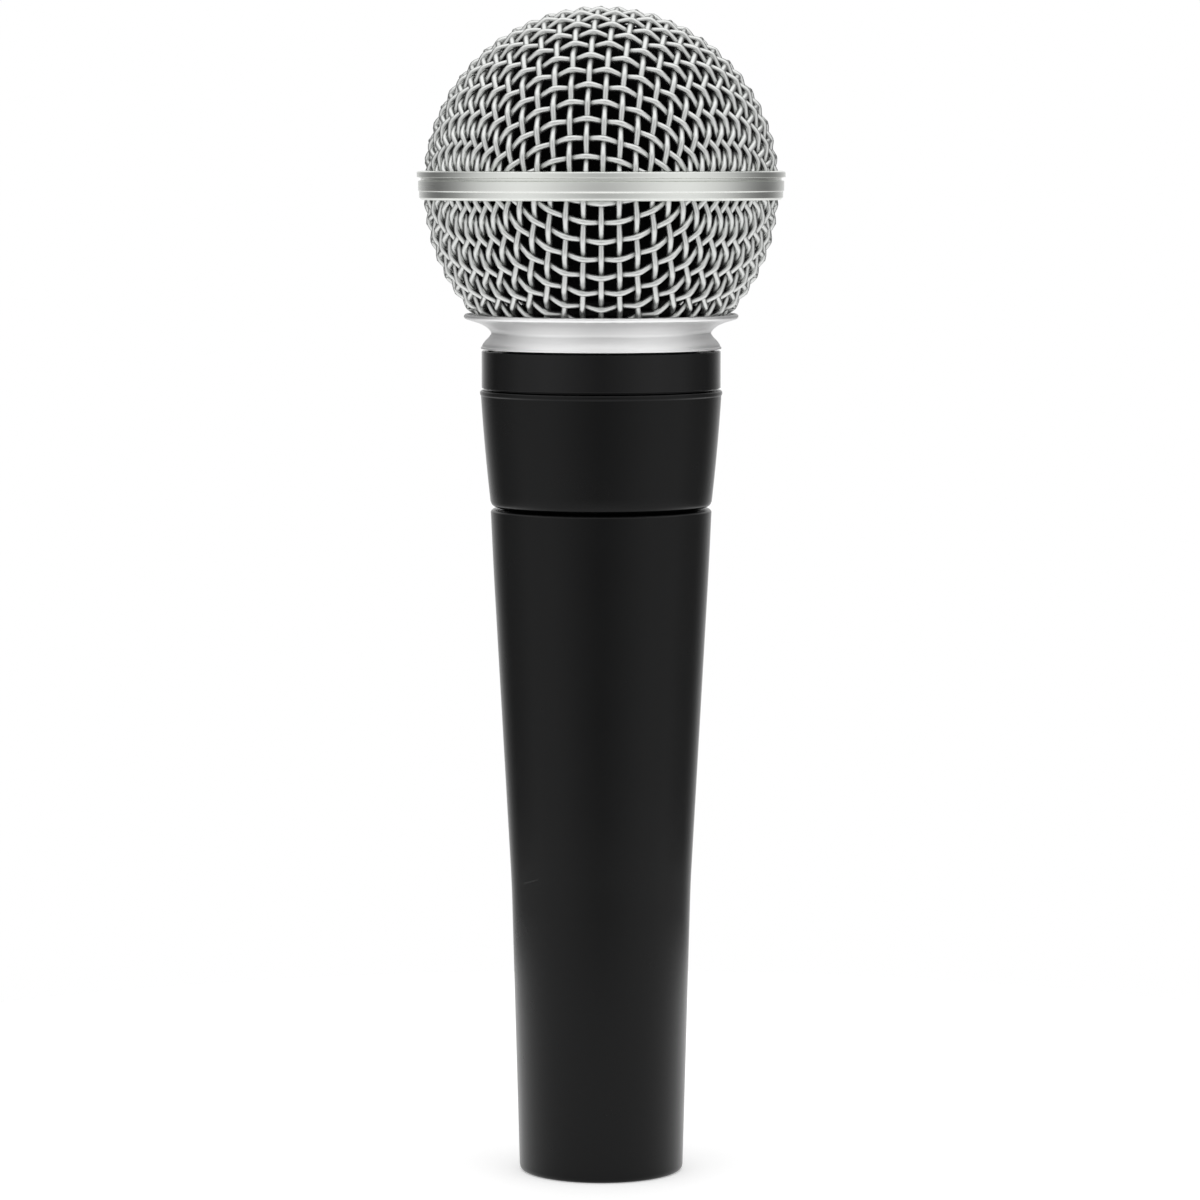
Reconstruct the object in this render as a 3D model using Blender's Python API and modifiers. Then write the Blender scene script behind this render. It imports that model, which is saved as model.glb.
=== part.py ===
"""A handheld dynamic vocal microphone with a ball grille, as separate parts.

The sizes below are in millimetres, and become metres where a mesh is made.
The microphone's axis is Z: the tail rim stands on Z = 0 and the grille is on top.
A profile is a list of (radius, height) points that runs down the part's outer side.
"""

import math

import bmesh
import bpy

MM = 0.001
GAP = 0.3  # clearance kept between neighbouring parts
MERGE = 0.00001  # metres
COLLECTION = "dynamic_microphone"

# Sides of the turned shapes.
SHELL_SIDES = 40
INNER_SIDES = 24
SMALL_SIDES = 12
SMOOTH_BELOW = math.radians(30)

# Handle: a tapered tube with a knee, and the connector's bore in its tail.
HANDLE_TOP = 92.6
HANDLE_TOP_R = 15.3
TAIL_R = 11.4
TAIL_FILLET = 1.12
KNEE = (12.48, 40.2)
SHOULDER = (14.92, 84.0)
SOCKET_R = 9.5
SOCKET_CHAMFER = 0.15
SOCKET_STOP = (26.0, 28.0)  # heights of the ridge that the connector rests against
SOCKET_STOP_R = 8.0
SOCKET_RELIEF = 1.5  # height of the cone above the stop
HANDLE_WALL = 1.95
JOINT_BORE_R = 13.7
KEYWAY = (3.0, 0.6)  # width and depth

# Connector: an insulating disc with three pins, held by a set screw.
INSULATOR = (15.5, 25.7)
INSULATOR_EDGE = 0.4
PIN_R = 1.2
PIN_SHANK_R = 1.15
PIN_STEP = 0.1
PIN_CIRCLE_R = 4.0
PIN_ANGLES = (150, 30, 270)
PIN_TIP = 2.8
PIN_TOP = 29.5
CUP_R = 0.75
CUP_FLOOR = 26.8
SET_SCREW_HEIGHT = 20.5
SET_SCREW_R = 1.2
SET_SCREW_ENDS = (9.5, 11.7)
SET_SCREW_HOLE_ENDS = (7.4, 15.4)
SET_SCREW_SLOT = (4.0, 1.2, 0.5)

# Output transformer, with its centre at this height.
TRANSFORMER_Z = 48.0
CORE = (13.0, 5.5, 11.0)
CENTRE_LEG = 3.6
WINDOW = (2.8, 7.8)
COIL_FORMER_WALL = 0.5
FLANGE = (8.6, 9.8, 0.6)
WINDING_STEP = 0.1  # the winding stands this far inside the flanges
CUSHION_R = 10.0
CUSHION_HEIGHT = 15.0
CUSHION_SLOT = (13.6, 10.6)
LEAD_R = 0.45
OUTPUT_LEAD_ENDS = ((-2.0, 4.0), (2.0, 4.0), (0.0, -4.0))
OUTPUT_LEAD_STRAIGHT = 4.0  # the leads run straight over this height below the coil former
OUTPUT_LEAD_POINTS = 9
CAPSULE_LEAD_START = (1.5, 4.0)
CAPSULE_LEAD_END = (4.0, 1.2)
CAPSULE_LEAD_TOP = 93.0
CAPSULE_LEAD_POINTS = 19

# Cartridge housing, from its lower spigot to its upper one.
HOUSING_FOOT = 92.9
HOUSING_RIDGE = 108.85
HOUSING_FOOT_R = 15.34
HOUSING_SHOULDER_R = 16.62
HOUSING_RIDGE_R = 16.77
HOUSING_SIDE = (93.75, 107.9)  # heights between which the side is convex
HOUSING_BULGE = 0.28
LOWER_SPIGOT = (13.4, 84.6)
UPPER_SPIGOT = (13.9, 119.3)
NECK = (15.4, 114.3)
HOUSING_BORE_R = 11.3
HOUSING_CHAMBER_R = 13.3
MOUNT_SEAT = (12.4, 110.0)
NAMEPLATE_R = 16.53

# Rubber shock mount.
MOUNT_R = 12.1
MOUNT_BORE_R = 10.0
MOUNT_FLANGE = (13.6, 119.6, 120.6)

# Cartridge.
STEM_R = 9.6
STEM_WALL = 1.2
STEM_FOOT = 109.5
PORT_NECK = (11.5, 122.6)
NECK_SLOPE = 0.9
HEAD_R = 13.6
HEAD_FLOOR = (124.4, 125.6)
HEAD_TOP = 133.2
HEAD_BORE_R = 12.4
PORT_COUNT = 8
PORT = (2.4, 1.3)  # width and height of each rear port
PORT_SCREEN = (11.8, 12.2, 122.7, 124.1)
YOKE_R = 10.6
YOKE_BORE_R = 7.5
YOKE = (125.9, 126.9, 130.7)
MAGNET = (6.0, 127.2, 129.2)
POLE = (6.3, 129.5, 130.7)
COIL = (6.65, 7.1, 128.3, 131.4)
SEAT_RING = (10.9, 12.1, 125.9, 131.2)
CLAMP_RING = (11.0, 12.1, 132.6, 133.2)
DIAPHRAGM_R = 11.8
DIAPHRAGM_Z = 131.75
DIAPHRAGM_THICKNESS = 0.3
DOME_R = 7.1
DOME_RISE = 0.85
SURROUND = (10.9, 7.5)  # outer and inner radius
SURROUND_RISE = 0.35
CAP = (133.5, 134.5, 135.4)
CAP_RIM_R = 12.9
CAP_HOLE_R = 0.95
CAP_HOLE_RINGS = ((0.0, 1), (4.6, 6), (9.2, 10))
CAP_HOLE_TURN = 12
CHAMBER = (96.0, 109.2)
CHAMBER_WALL = 0.9
BOARD = (8.5, 94.7, 95.7)
TAB = (2.0, 0.5, 3.5)
TAB_X = 4.0

# Ball grille.
WIRE_LAYER = 1.0  # thickness of the woven wire
DOME = (24.6, 137.3)  # radius and centre of the upper half
BOWL = (24.5, 136.2)
BAND = (135.3, 139.3)
BAND_FLANGE_R = 25.4
BAND_R = 25.2
BAND_GROOVE_R = 24.75
BAND_BORE_R = 23.7
COLLAR_FOOT = 114.6
COLLAR_R = 16.6
COLLAR_WAIST = (15.1, 117.05)
COLLAR_LIP = (19.0, 119.5)
COLLAR_BORE_R = 14.2
FOAM = (22.7, 20.7, 137.0)  # outer and inner radius, and centre
FOAM_FOOT = 123.0


def clear_scene():
    for obj in list(bpy.data.objects):
        bpy.data.objects.remove(obj, do_unlink=True)


def new_collection(name):
    collection = bpy.data.collections.new(name)
    bpy.context.scene.collection.children.link(collection)
    return collection


def new_material(name, colour, roughness, metallic=0.0):
    material = bpy.data.materials.new(name)
    material.use_nodes = True
    shader = material.node_tree.nodes["Principled BSDF"]
    shader.inputs["Base Color"].default_value = (*colour, 1.0)
    shader.inputs["Roughness"].default_value = roughness
    shader.inputs["Metallic"].default_value = metallic
    return material


def body_empty(name, height, parent=None):
    """The frame of one moving body, on the joint's axis."""
    empty = bpy.data.objects.new(name, None)
    empty.empty_display_size = 0.01
    parts.objects.link(empty)
    empty.parent = parent
    empty["height"] = height
    empty.location.z = (height - (parent["height"] if parent else 0.0)) * MM
    return empty


def add_part(name, mesh, body, colour, roughness, metallic=0.0):
    """The named object of a mesh made in millimetres about the microphone's own origin."""
    for vertex in mesh.vertices:
        vertex.co.z -= body["height"]
        vertex.co *= MM
    mesh.materials.clear()
    mesh.materials.append(new_material(name, colour, roughness, metallic))
    mesh.shade_smooth()
    mesh.set_sharp_from_angle(angle=SMOOTH_BELOW)
    obj = bpy.data.objects.new(name, mesh)
    parts.objects.link(obj)
    obj.parent = body
    return obj


def evaluated_mesh(obj):
    """The object's mesh with its modifiers applied. The object itself is removed."""
    graph = bpy.context.evaluated_depsgraph_get()
    mesh = bpy.data.meshes.new_from_object(obj.evaluated_get(graph))
    bpy.data.objects.remove(obj, do_unlink=True)
    return mesh


def turned(profile, sides):
    """The mesh of a profile turned about Z. It closes on itself unless both its ends are on the axis."""
    mesh = bpy.data.meshes.new("profile")
    links = [(i, i + 1) for i in range(len(profile) - 1)]
    if profile[0][0] or profile[-1][0]:
        links.append((len(profile) - 1, 0))
    mesh.from_pydata([(radius, 0, height) for radius, height in profile], links, [])
    obj = bpy.data.objects.new("profile", mesh)
    parts.objects.link(obj)
    screw = obj.modifiers.new("Turn", "SCREW")
    screw.axis = "Z"
    screw.steps = screw.render_steps = sides
    screw.use_merge_vertices = True
    screw.merge_threshold = MERGE
    return evaluated_mesh(obj)


def box(size, centre):
    mesh = bpy.data.meshes.new("box")
    shape = bmesh.new()
    bmesh.ops.create_cube(shape, size=1.0)
    bmesh.ops.scale(shape, vec=size, verts=shape.verts)
    bmesh.ops.translate(shape, vec=centre, verts=shape.verts)
    shape.to_mesh(mesh)
    shape.free()
    return mesh


def rods(places, radius, low, high, sides=SMALL_SIDES):
    """Upright round rods of one size, at the given (x, y) places."""
    mesh = bpy.data.meshes.new("rods")
    shape = bmesh.new()
    for x, y in places:
        made = bmesh.ops.create_cone(
            shape, cap_ends=True, segments=sides, radius1=radius, radius2=radius, depth=high - low
        )
        bmesh.ops.translate(shape, vec=(x, y, (low + high) / 2), verts=made["verts"])
    shape.to_mesh(mesh)
    shape.free()
    return mesh


def cross_rod(radius, start, end, height):
    """A round rod along Y, between two distances from the axis."""
    mesh = bpy.data.meshes.new("cross_rod")
    shape = bmesh.new()
    bmesh.ops.create_cone(
        shape, cap_ends=True, segments=SMALL_SIDES, radius1=radius, radius2=radius,
        depth=end - start,
    )
    for vertex in shape.verts:
        x, y, z = vertex.co
        vertex.co = (x, (start + end) / 2 + z, height - y)
    shape.to_mesh(mesh)
    shape.free()
    return mesh


def helper(name, mesh, body):
    """A hidden shape that cuts or joins a part."""
    for vertex in mesh.vertices:
        vertex.co.z -= body["height"]
        vertex.co *= MM
    obj = bpy.data.objects.new(name, mesh)
    cutters.objects.link(obj)
    obj.parent = body
    obj.hide_render = True
    obj.display_type = "WIRE"
    return obj


def combine(part, label, mesh, operation="DIFFERENCE"):
    modifier = part.modifiers.new(label, "BOOLEAN")
    modifier.operation = operation
    modifier.solver = "EXACT"
    modifier.object = helper(f"{part.name}_{label}", mesh, part.parent)


def ring(inner, outer, low, high):
    return [(outer, high), (outer, low), (inner, low), (inner, high)]


def disc(radius, low, high):
    return [(0, high), (radius, high), (radius, low), (0, low)]


def arc(centre, radius, start, end, count):
    """Points on a circle, with the angles in degrees from the radial direction."""
    angles = [math.radians(start + (end - start) * i / (count - 1)) for i in range(count)]
    return [(centre[0] + radius * math.cos(a), centre[1] + radius * math.sin(a)) for a in angles]


def sphere_cut(radius, centre, height):
    """The angle in degrees at which a sphere meets a level plane."""
    return math.degrees(math.asin((height - centre) / radius))


def around(count, radius, start=0.0):
    angles = [math.radians(start) + math.tau * i / count for i in range(count)]
    return [(radius * math.cos(a), radius * math.sin(a)) for a in angles]


def smooth_step(t):
    t = min(max(t, 0.0), 1.0)
    return t * t * (3 - 2 * t)


def lead(name, route, body, colour):
    """An insulated wire along a route in millimetres."""
    curve = bpy.data.curves.new(name, "CURVE")
    curve.dimensions = "3D"
    curve.bevel_depth = LEAD_R * MM
    curve.bevel_resolution = 1
    curve.use_fill_caps = True
    spline = curve.splines.new("POLY")
    spline.points.add(len(route) - 1)
    for point, (x, y, z) in zip(spline.points, route):
        point.co = (x * MM, y * MM, (z - body["height"]) * MM, 1.0)
    curve.materials.append(new_material(name, colour, 0.45))
    obj = bpy.data.objects.new(name, curve)
    parts.objects.link(obj)
    obj.parent = body


def handle(body):
    fillet_centre = (TAIL_R - TAIL_FILLET, TAIL_FILLET)
    profile = [
        (HANDLE_TOP_R - GAP, HANDLE_TOP),
        (HANDLE_TOP_R, HANDLE_TOP - GAP),
        SHOULDER,
        KNEE,
        *arc(fillet_centre, TAIL_FILLET, 0, -90, 5),
        (SOCKET_R + SOCKET_CHAMFER, 0),
        (SOCKET_R, SOCKET_CHAMFER),
        (SOCKET_R, SOCKET_STOP[0]),
        (SOCKET_STOP_R, SOCKET_STOP[0]),
        (SOCKET_STOP_R, SOCKET_STOP[1]),
        (SOCKET_R, SOCKET_STOP[1] + SOCKET_RELIEF),
        (KNEE[0] - HANDLE_WALL, KNEE[1]),
        (SHOULDER[0] - HANDLE_WALL, SHOULDER[1]),
        (JOINT_BORE_R, SHOULDER[1]),
        (JOINT_BORE_R, HANDLE_TOP),
    ]
    shell = add_part(
        "handle_shell", turned(profile, SHELL_SIDES), body, (0.012, 0.012, 0.013), 0.42, 0.3
    )
    width, depth = KEYWAY
    reach = SOCKET_R + depth
    keyway = box((width, 2 * depth, INSULATOR[0]), (0, reach - depth, INSULATOR[0] / 2 - 1))
    combine(shell, "keyway", keyway)
    hole = cross_rod(SET_SCREW_R + GAP, *SET_SCREW_HOLE_ENDS, SET_SCREW_HEIGHT)
    combine(shell, "screw_hole", hole)


def set_screw(body):
    mesh = cross_rod(SET_SCREW_R, *SET_SCREW_ENDS, SET_SCREW_HEIGHT)
    screw = add_part("xlr_set_screw", mesh, body, (0.25, 0.25, 0.26), 0.35, 1.0)
    combine(screw, "slot", box(SET_SCREW_SLOT, (0, SET_SCREW_ENDS[1], SET_SCREW_HEIGHT)))


def connector(body):
    low, high = INSULATOR
    radius = SOCKET_R - GAP
    profile = [
        (0, high), (radius, high), (radius, low + INSULATOR_EDGE),
        (radius - INSULATOR_EDGE, low), (0, low),
    ]
    insulator = add_part(
        "xlr_insulator", turned(profile, INNER_SIDES), body, (0.02, 0.02, 0.022), 0.55
    )
    places = [
        (PIN_CIRCLE_R * math.cos(math.radians(a)), PIN_CIRCLE_R * math.sin(math.radians(a)))
        for a in PIN_ANGLES
    ]
    combine(insulator, "pin_holes", rods(places, PIN_R + GAP, low - 1, high + 1))
    pin = [
        (0, CUP_FLOOR), (CUP_R, CUP_FLOOR), (CUP_R, PIN_TOP), (PIN_SHANK_R, PIN_TOP),
        (PIN_SHANK_R, high), (PIN_R, high - PIN_STEP),
        *arc((0, PIN_TIP + PIN_R), PIN_R, 0, -90, 4),
    ]
    pin[-1] = (0, PIN_TIP)
    for number, (x, y) in enumerate(places, 1):
        mesh = turned(pin, SMALL_SIDES)
        for vertex in mesh.vertices:
            vertex.co.x += x
            vertex.co.y += y
        add_part(f"xlr_pin_{number}", mesh, body, (0.75, 0.72, 0.66), 0.25, 1.0)
    set_screw(body)
    return places


def transformer(body):
    middle = (0, 0, TRANSFORMER_Z)
    core = add_part("transformer_core", box(CORE, middle), body, (0.09, 0.09, 0.1), 0.5, 0.8)
    window_x = (CENTRE_LEG + WINDOW[0]) / 2
    for side, label in ((-1, "window_left"), (1, "window_right")):
        size = (WINDOW[0], CORE[1] + 2, WINDOW[1])
        combine(core, label, box(size, (side * window_x, 0, TRANSFORMER_Z)))

    former_height = WINDOW[1] - 2 * GAP
    hole = (CENTRE_LEG + 2 * GAP, CORE[1] + 2 * GAP)
    tube = (hole[0] + 2 * COIL_FORMER_WALL, hole[1] + 2 * COIL_FORMER_WALL)
    former = add_part(
        "transformer_coil_former", box((*tube, former_height), middle), body, (0.75, 0.7, 0.58), 0.5
    )
    flange_z = (former_height - FLANGE[2]) / 2
    for side, label in ((-1, "lower_flange"), (1, "upper_flange")):
        flange = box(FLANGE, (0, 0, TRANSFORMER_Z + side * flange_z))
        combine(former, label, flange, "UNION")
    combine(former, "leg_hole", box((*hole, former_height + 2), middle))

    winding_height = former_height - 2 * FLANGE[2] - 2 * GAP
    width, depth = FLANGE[0] - 2 * WINDING_STEP, FLANGE[1] - 2 * WINDING_STEP
    winding = add_part(
        "transformer_winding", box((width, depth, winding_height), middle),
        body, (0.45, 0.14, 0.05), 0.35, 0.9,
    )
    former_hole = (tube[0] + 2 * GAP, tube[1] + 2 * GAP, winding_height + 2)
    combine(winding, "former_hole", box(former_hole, middle))

    half = CUSHION_HEIGHT / 2
    cushion = add_part(
        "transformer_cushion",
        turned(disc(CUSHION_R, TRANSFORMER_Z - half, TRANSFORMER_Z + half), INNER_SIDES),
        body, (0.03, 0.03, 0.03), 0.9,
    )
    combine(cushion, "slot", box((*CUSHION_SLOT, CUSHION_HEIGHT + 2), middle))
    return TRANSFORMER_Z - former_height / 2 - GAP, TRANSFORMER_Z + former_height / 2 + GAP


def output_leads(body, pins, top):
    """Each runs from a pin's solder cup up to the lower flange of the coil former."""
    colours = ((0.02, 0.3, 0.05), (0.7, 0.6, 0.05), (0.02, 0.08, 0.5))
    bottom = CUP_FLOOR + GAP
    for number, ((x, y), (end_x, end_y)) in enumerate(zip(pins, OUTPUT_LEAD_ENDS), 1):
        route = []
        for i in range(OUTPUT_LEAD_POINTS):
            z = bottom + (top - bottom) * i / (OUTPUT_LEAD_POINTS - 1)
            t = smooth_step((z - PIN_TOP) / (top - OUTPUT_LEAD_STRAIGHT - PIN_TOP))
            route.append((x + (end_x - x) * t, y + (end_y - y) * t, z))
        lead(f"output_lead_{number}", route, body, colours[number - 1])


def capsule_leads(body, bottom):
    """Two leads wind once round the axis, which leaves the slack to unscrew the housing."""
    start_x, start_y = CAPSULE_LEAD_START
    end_x, end_y = CAPSULE_LEAD_END
    start, end = math.atan2(start_y, start_x), math.atan2(end_y, end_x) + math.tau
    start_r, end_r = math.hypot(start_x, start_y), math.hypot(end_x, end_y)
    for name, colour, phase in (
        ("capsule_lead_red", (0.5, 0.01, 0.01), 0.0),
        ("capsule_lead_black", (0.01, 0.01, 0.01), math.pi),
    ):
        route = []
        for i in range(CAPSULE_LEAD_POINTS):
            t = i / (CAPSULE_LEAD_POINTS - 1)
            angle = phase + start + (end - start) * smooth_step(t)
            radius = start_r + (end_r - start_r) * t
            z = bottom + (CAPSULE_LEAD_TOP - bottom) * t
            route.append((radius * math.cos(angle), radius * math.sin(angle), z))
        lead(name, route, body, colour)


def housing_side():
    """The housing's convex side, from its ridge down to its foot."""
    foot, shoulder = HOUSING_SIDE
    points = []
    for i in range(5):
        t = 1 - i / 4
        bulge = t + HOUSING_BULGE * t * (1 - t)
        radius = HOUSING_FOOT_R + (HOUSING_SHOULDER_R - HOUSING_FOOT_R) * bulge
        points.append((radius, foot + (shoulder - foot) * t))
    return points


def housing(body):
    profile = [
        UPPER_SPIGOT,
        (UPPER_SPIGOT[0], NECK[1]),
        NECK,
        (NECK[0], HOUSING_RIDGE),
        (HOUSING_RIDGE_R - 0.15, HOUSING_RIDGE),
        (HOUSING_RIDGE_R, HOUSING_RIDGE - 0.25),
        (HOUSING_RIDGE_R, HOUSING_RIDGE - 0.6),
        *housing_side(),
        (HOUSING_FOOT_R - 0.2, HOUSING_FOOT + 0.3),
        (HOUSING_FOOT_R - 0.74, HOUSING_FOOT),
        (LOWER_SPIGOT[0], HOUSING_FOOT),
        LOWER_SPIGOT,
        (HOUSING_BORE_R, LOWER_SPIGOT[1]),
        (HOUSING_BORE_R, HOUSING_FOOT + 1),
        (HOUSING_CHAMBER_R, HOUSING_FOOT + 3),
        (HOUSING_CHAMBER_R, HOUSING_RIDGE - 2),
        (HOUSING_BORE_R, HOUSING_RIDGE),
        (HOUSING_BORE_R, MOUNT_SEAT[1]),
        MOUNT_SEAT,
        (MOUNT_SEAT[0], UPPER_SPIGOT[1]),
    ]
    add_part(
        "cartridge_housing", turned(profile, SHELL_SIDES), body, (0.012, 0.012, 0.013), 0.42, 0.3
    )
    plate = ring(NECK[0] + GAP, NAMEPLATE_R, HOUSING_RIDGE + GAP, NECK[1])
    add_part("nameplate_ring", turned(plate, SHELL_SIDES), body, (0.008, 0.008, 0.008), 0.35)


def shock_mount(body):
    flange_r, flange_low, flange_high = MOUNT_FLANGE
    profile = [
        (flange_r, flange_high),
        (flange_r, flange_low),
        (MOUNT_R, flange_low),
        (MOUNT_R, MOUNT_SEAT[1] + GAP),
        (MOUNT_BORE_R, MOUNT_SEAT[1] + GAP),
        (MOUNT_BORE_R, flange_high),
    ]
    add_part("shock_mount", turned(profile, INNER_SIDES), body, (0.015, 0.015, 0.015), 0.8)


def capsule_body(body):
    bore = STEM_R - STEM_WALL
    neck_r, neck_low = PORT_NECK
    profile = [
        (HEAD_R, HEAD_TOP),
        (HEAD_R, HEAD_FLOOR[0]),
        (neck_r, HEAD_FLOOR[0]),
        (neck_r, neck_low),
        (STEM_R, neck_low - NECK_SLOPE),
        (STEM_R, STEM_FOOT),
        (bore, STEM_FOOT),
        (bore, HEAD_FLOOR[1]),
        (HEAD_BORE_R, HEAD_FLOOR[1]),
        (HEAD_BORE_R, HEAD_TOP),
    ]
    shell = add_part(
        "capsule_body", turned(profile, INNER_SIDES), body, (0.03, 0.03, 0.03), 0.5
    )
    middle = (neck_low + HEAD_FLOOR[0]) / 2
    for number in range(PORT_COUNT // 2):
        slot = box((2 * HEAD_R + 2, *PORT), (0, 0, middle))
        angle = math.pi * number / (PORT_COUNT // 2)
        for vertex in slot.vertices:
            x, y = vertex.co.x, vertex.co.y
            vertex.co.x = x * math.cos(angle) - y * math.sin(angle)
            vertex.co.y = x * math.sin(angle) + y * math.cos(angle)
        combine(shell, f"rear_ports_{number + 1}", slot)
    screen = turned(ring(*PORT_SCREEN), INNER_SIDES)
    add_part("rear_port_screen", screen, body, (0.2, 0.19, 0.17), 0.9)


def magnet_circuit(body):
    low, floor, high = YOKE
    yoke = [
        (0, floor), (YOKE_BORE_R, floor), (YOKE_BORE_R, high), (YOKE_R, high), (YOKE_R, low),
        (0, low),
    ]
    add_part("yoke_cup", turned(yoke, INNER_SIDES), body, (0.3, 0.3, 0.31), 0.35, 1.0)
    add_part("magnet", turned(disc(*MAGNET), INNER_SIDES), body, (0.2, 0.2, 0.21), 0.4, 1.0)
    add_part("pole_piece", turned(disc(*POLE), INNER_SIDES), body, (0.35, 0.35, 0.36), 0.3, 1.0)


def capsule_front(body):
    for name, sizes in (("diaphragm_seat_ring", SEAT_RING), ("diaphragm_clamp_ring", CLAMP_RING)):
        add_part(name, turned(ring(*sizes), INNER_SIDES), body, (0.5, 0.42, 0.25), 0.35, 1.0)
    low, face, top = CAP
    profile = [
        (0, face), (CAP_RIM_R, face), (CAP_RIM_R, top), (HEAD_R, top), (HEAD_R, low), (0, low)
    ]
    cap = add_part("resonator_cap", turned(profile, INNER_SIDES), body, (0.03, 0.03, 0.03), 0.45)
    for number, (radius, count) in enumerate(CAP_HOLE_RINGS, 1):
        places = around(count, radius, CAP_HOLE_TURN)
        holes = rods(places, CAP_HOLE_R, low - 1, top + 1, sides=8)
        combine(cap, f"holes_{number}", holes)
    screen = disc(CAP_RIM_R - GAP, face + GAP, top)
    add_part("front_screen", turned(screen, INNER_SIDES), body, (0.5, 0.5, 0.5), 0.4, 0.9)


def capsule_rear(body):
    low, high = CHAMBER
    bore = STEM_R - CHAMBER_WALL
    profile = [
        (0, low + 1), (bore, low + 1), (bore, high), (STEM_R, high), (STEM_R, low), (0, low)
    ]
    add_part("rear_air_chamber", turned(profile, INNER_SIDES), body, (0.03, 0.03, 0.03), 0.5)
    add_part("terminal_board", turned(disc(*BOARD), INNER_SIDES), body, (0.25, 0.13, 0.04), 0.6)
    height = BOARD[1] - GAP - TAB[2] / 2
    for name, side in (("terminal_positive", 1), ("terminal_negative", -1)):
        tab = box(TAB, (side * TAB_X, 0, height))
        add_part(name, tab, body, (0.7, 0.65, 0.5), 0.3, 1.0)


def diaphragm_lower_side():
    """The underside's (radius, height) points, from the rim to the dome's centre."""
    steps = (0.0, 0.33, 0.67, 1.0)
    outer, inner = SURROUND
    surround = [
        (outer + (inner - outer) * t, DIAPHRAGM_Z + SURROUND_RISE * math.sin(math.pi * t))
        for t in steps
    ]
    dome = [
        (DOME_R * (1 - t), DIAPHRAGM_Z + DOME_RISE * math.sin(math.pi / 2 * t)) for t in steps
    ]
    return [(DIAPHRAGM_R, DIAPHRAGM_Z), *surround, *dome]


def diaphragm(body):
    under = diaphragm_lower_side()
    over = [(radius, height + DIAPHRAGM_THICKNESS) for radius, height in reversed(under)]
    add_part("diaphragm", turned(over + under, INNER_SIDES), body, (0.75, 0.75, 0.72), 0.2)
    inner, outer, low, high = COIL
    coil = turned(ring(inner, outer, low, high), INNER_SIDES)
    add_part("voice_coil", coil, body, (0.6, 0.22, 0.08), 0.3, 0.9)


def dome_shell(outer, inner, centre, foot, count):
    """A hollow dome that stands open on its foot."""
    outside = arc((0, centre), outer, 90, sphere_cut(outer, centre, foot), count)
    inside = arc((0, centre), inner, sphere_cut(inner, centre, foot), 90, count - 1)
    outside[0] = (0, centre + outer)
    inside[-1] = (0, centre + inner)
    return outside + inside


def grille(body):
    steel = (0.55, 0.55, 0.53)
    radius, centre = DOME
    dome = dome_shell(radius, radius - WIRE_LAYER, centre, BAND[1] + GAP, 8)
    add_part("mesh_dome_upper", turned(dome, SHELL_SIDES), body, steel, 0.3, 1.0)

    radius, centre = BOWL
    inner = radius - WIRE_LAYER
    top, foot = BAND[0] - GAP, COLLAR_LIP[1] + GAP
    outside = arc(
        (0, centre), radius, sphere_cut(radius, centre, top), sphere_cut(radius, centre, foot), 6
    )
    inside = arc(
        (0, centre), inner, sphere_cut(inner, centre, foot), sphere_cut(inner, centre, top), 5
    )
    bowl = turned(outside + inside, SHELL_SIDES)
    add_part("mesh_bowl_lower", bowl, body, steel, 0.3, 1.0)

    low, high = BAND
    band = [
        (BAND_FLANGE_R - 0.4, high),
        (BAND_FLANGE_R, high - 0.15),
        (BAND_FLANGE_R, high - 0.9),
        (BAND_GROOVE_R, high - 1.0),
        (BAND_GROOVE_R, high - 1.35),
        (BAND_R, high - 1.45),
        (BAND_R, low + 0.3),
        (BAND_R - 0.3, low),
        (BAND_BORE_R, low),
        (BAND_BORE_R, high),
    ]
    add_part("band_ring", turned(band, SHELL_SIDES), body, (0.58, 0.57, 0.54), 0.3, 1.0)
    collar(body)


def collar(body):
    lip_r, lip = COLLAR_LIP
    waist_r, waist = COLLAR_WAIST
    profile = [
        (lip_r - 0.6, lip),
        (lip_r, lip),
        (lip_r, lip - 0.7),
        (lip_r - 0.8, lip - 1.25),
        (lip_r - 2.2, lip - 1.8),
        (waist_r + 0.6, waist + 0.15),
        (waist_r, waist),
        (waist_r + 0.4, waist - 0.15),
        (waist_r + 1.0, waist - 0.75),
        (COLLAR_R, COLLAR_FOOT + 1.15),
        (COLLAR_R, COLLAR_FOOT),
        (COLLAR_BORE_R, COLLAR_FOOT),
        (COLLAR_BORE_R, waist + 0.85),
        (waist_r + 2.5, lip - 0.6),
    ]
    add_part("grille_collar", turned(profile, SHELL_SIDES), body, (0.58, 0.57, 0.54), 0.25, 1.0)


def foam(body):
    outer, inner, centre = FOAM
    shell = dome_shell(outer, inner, centre, FOAM_FOOT, 7)
    add_part("foam_windscreen", turned(shell, INNER_SIDES), body, (0.01, 0.01, 0.01), 0.95)


clear_scene()
parts = new_collection(COLLECTION)
cutters = new_collection("cutters")

handle_frame = body_empty("handle_frame", 0.0)
mount_frame = body_empty("housing_lift_axis", LOWER_SPIGOT[1], handle_frame)
housing_frame = body_empty("housing_screw_axis", LOWER_SPIGOT[1], mount_frame)
capsule_frame = body_empty("capsule_float_axis", MOUNT_FLANGE[1], housing_frame)
diaphragm_frame = body_empty("diaphragm_axis", DIAPHRAGM_Z, capsule_frame)
foam_frame = body_empty("grille_lift_axis", COLLAR_FOOT, housing_frame)
grille_frame = body_empty("grille_screw_axis", COLLAR_FOOT, foam_frame)

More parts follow.
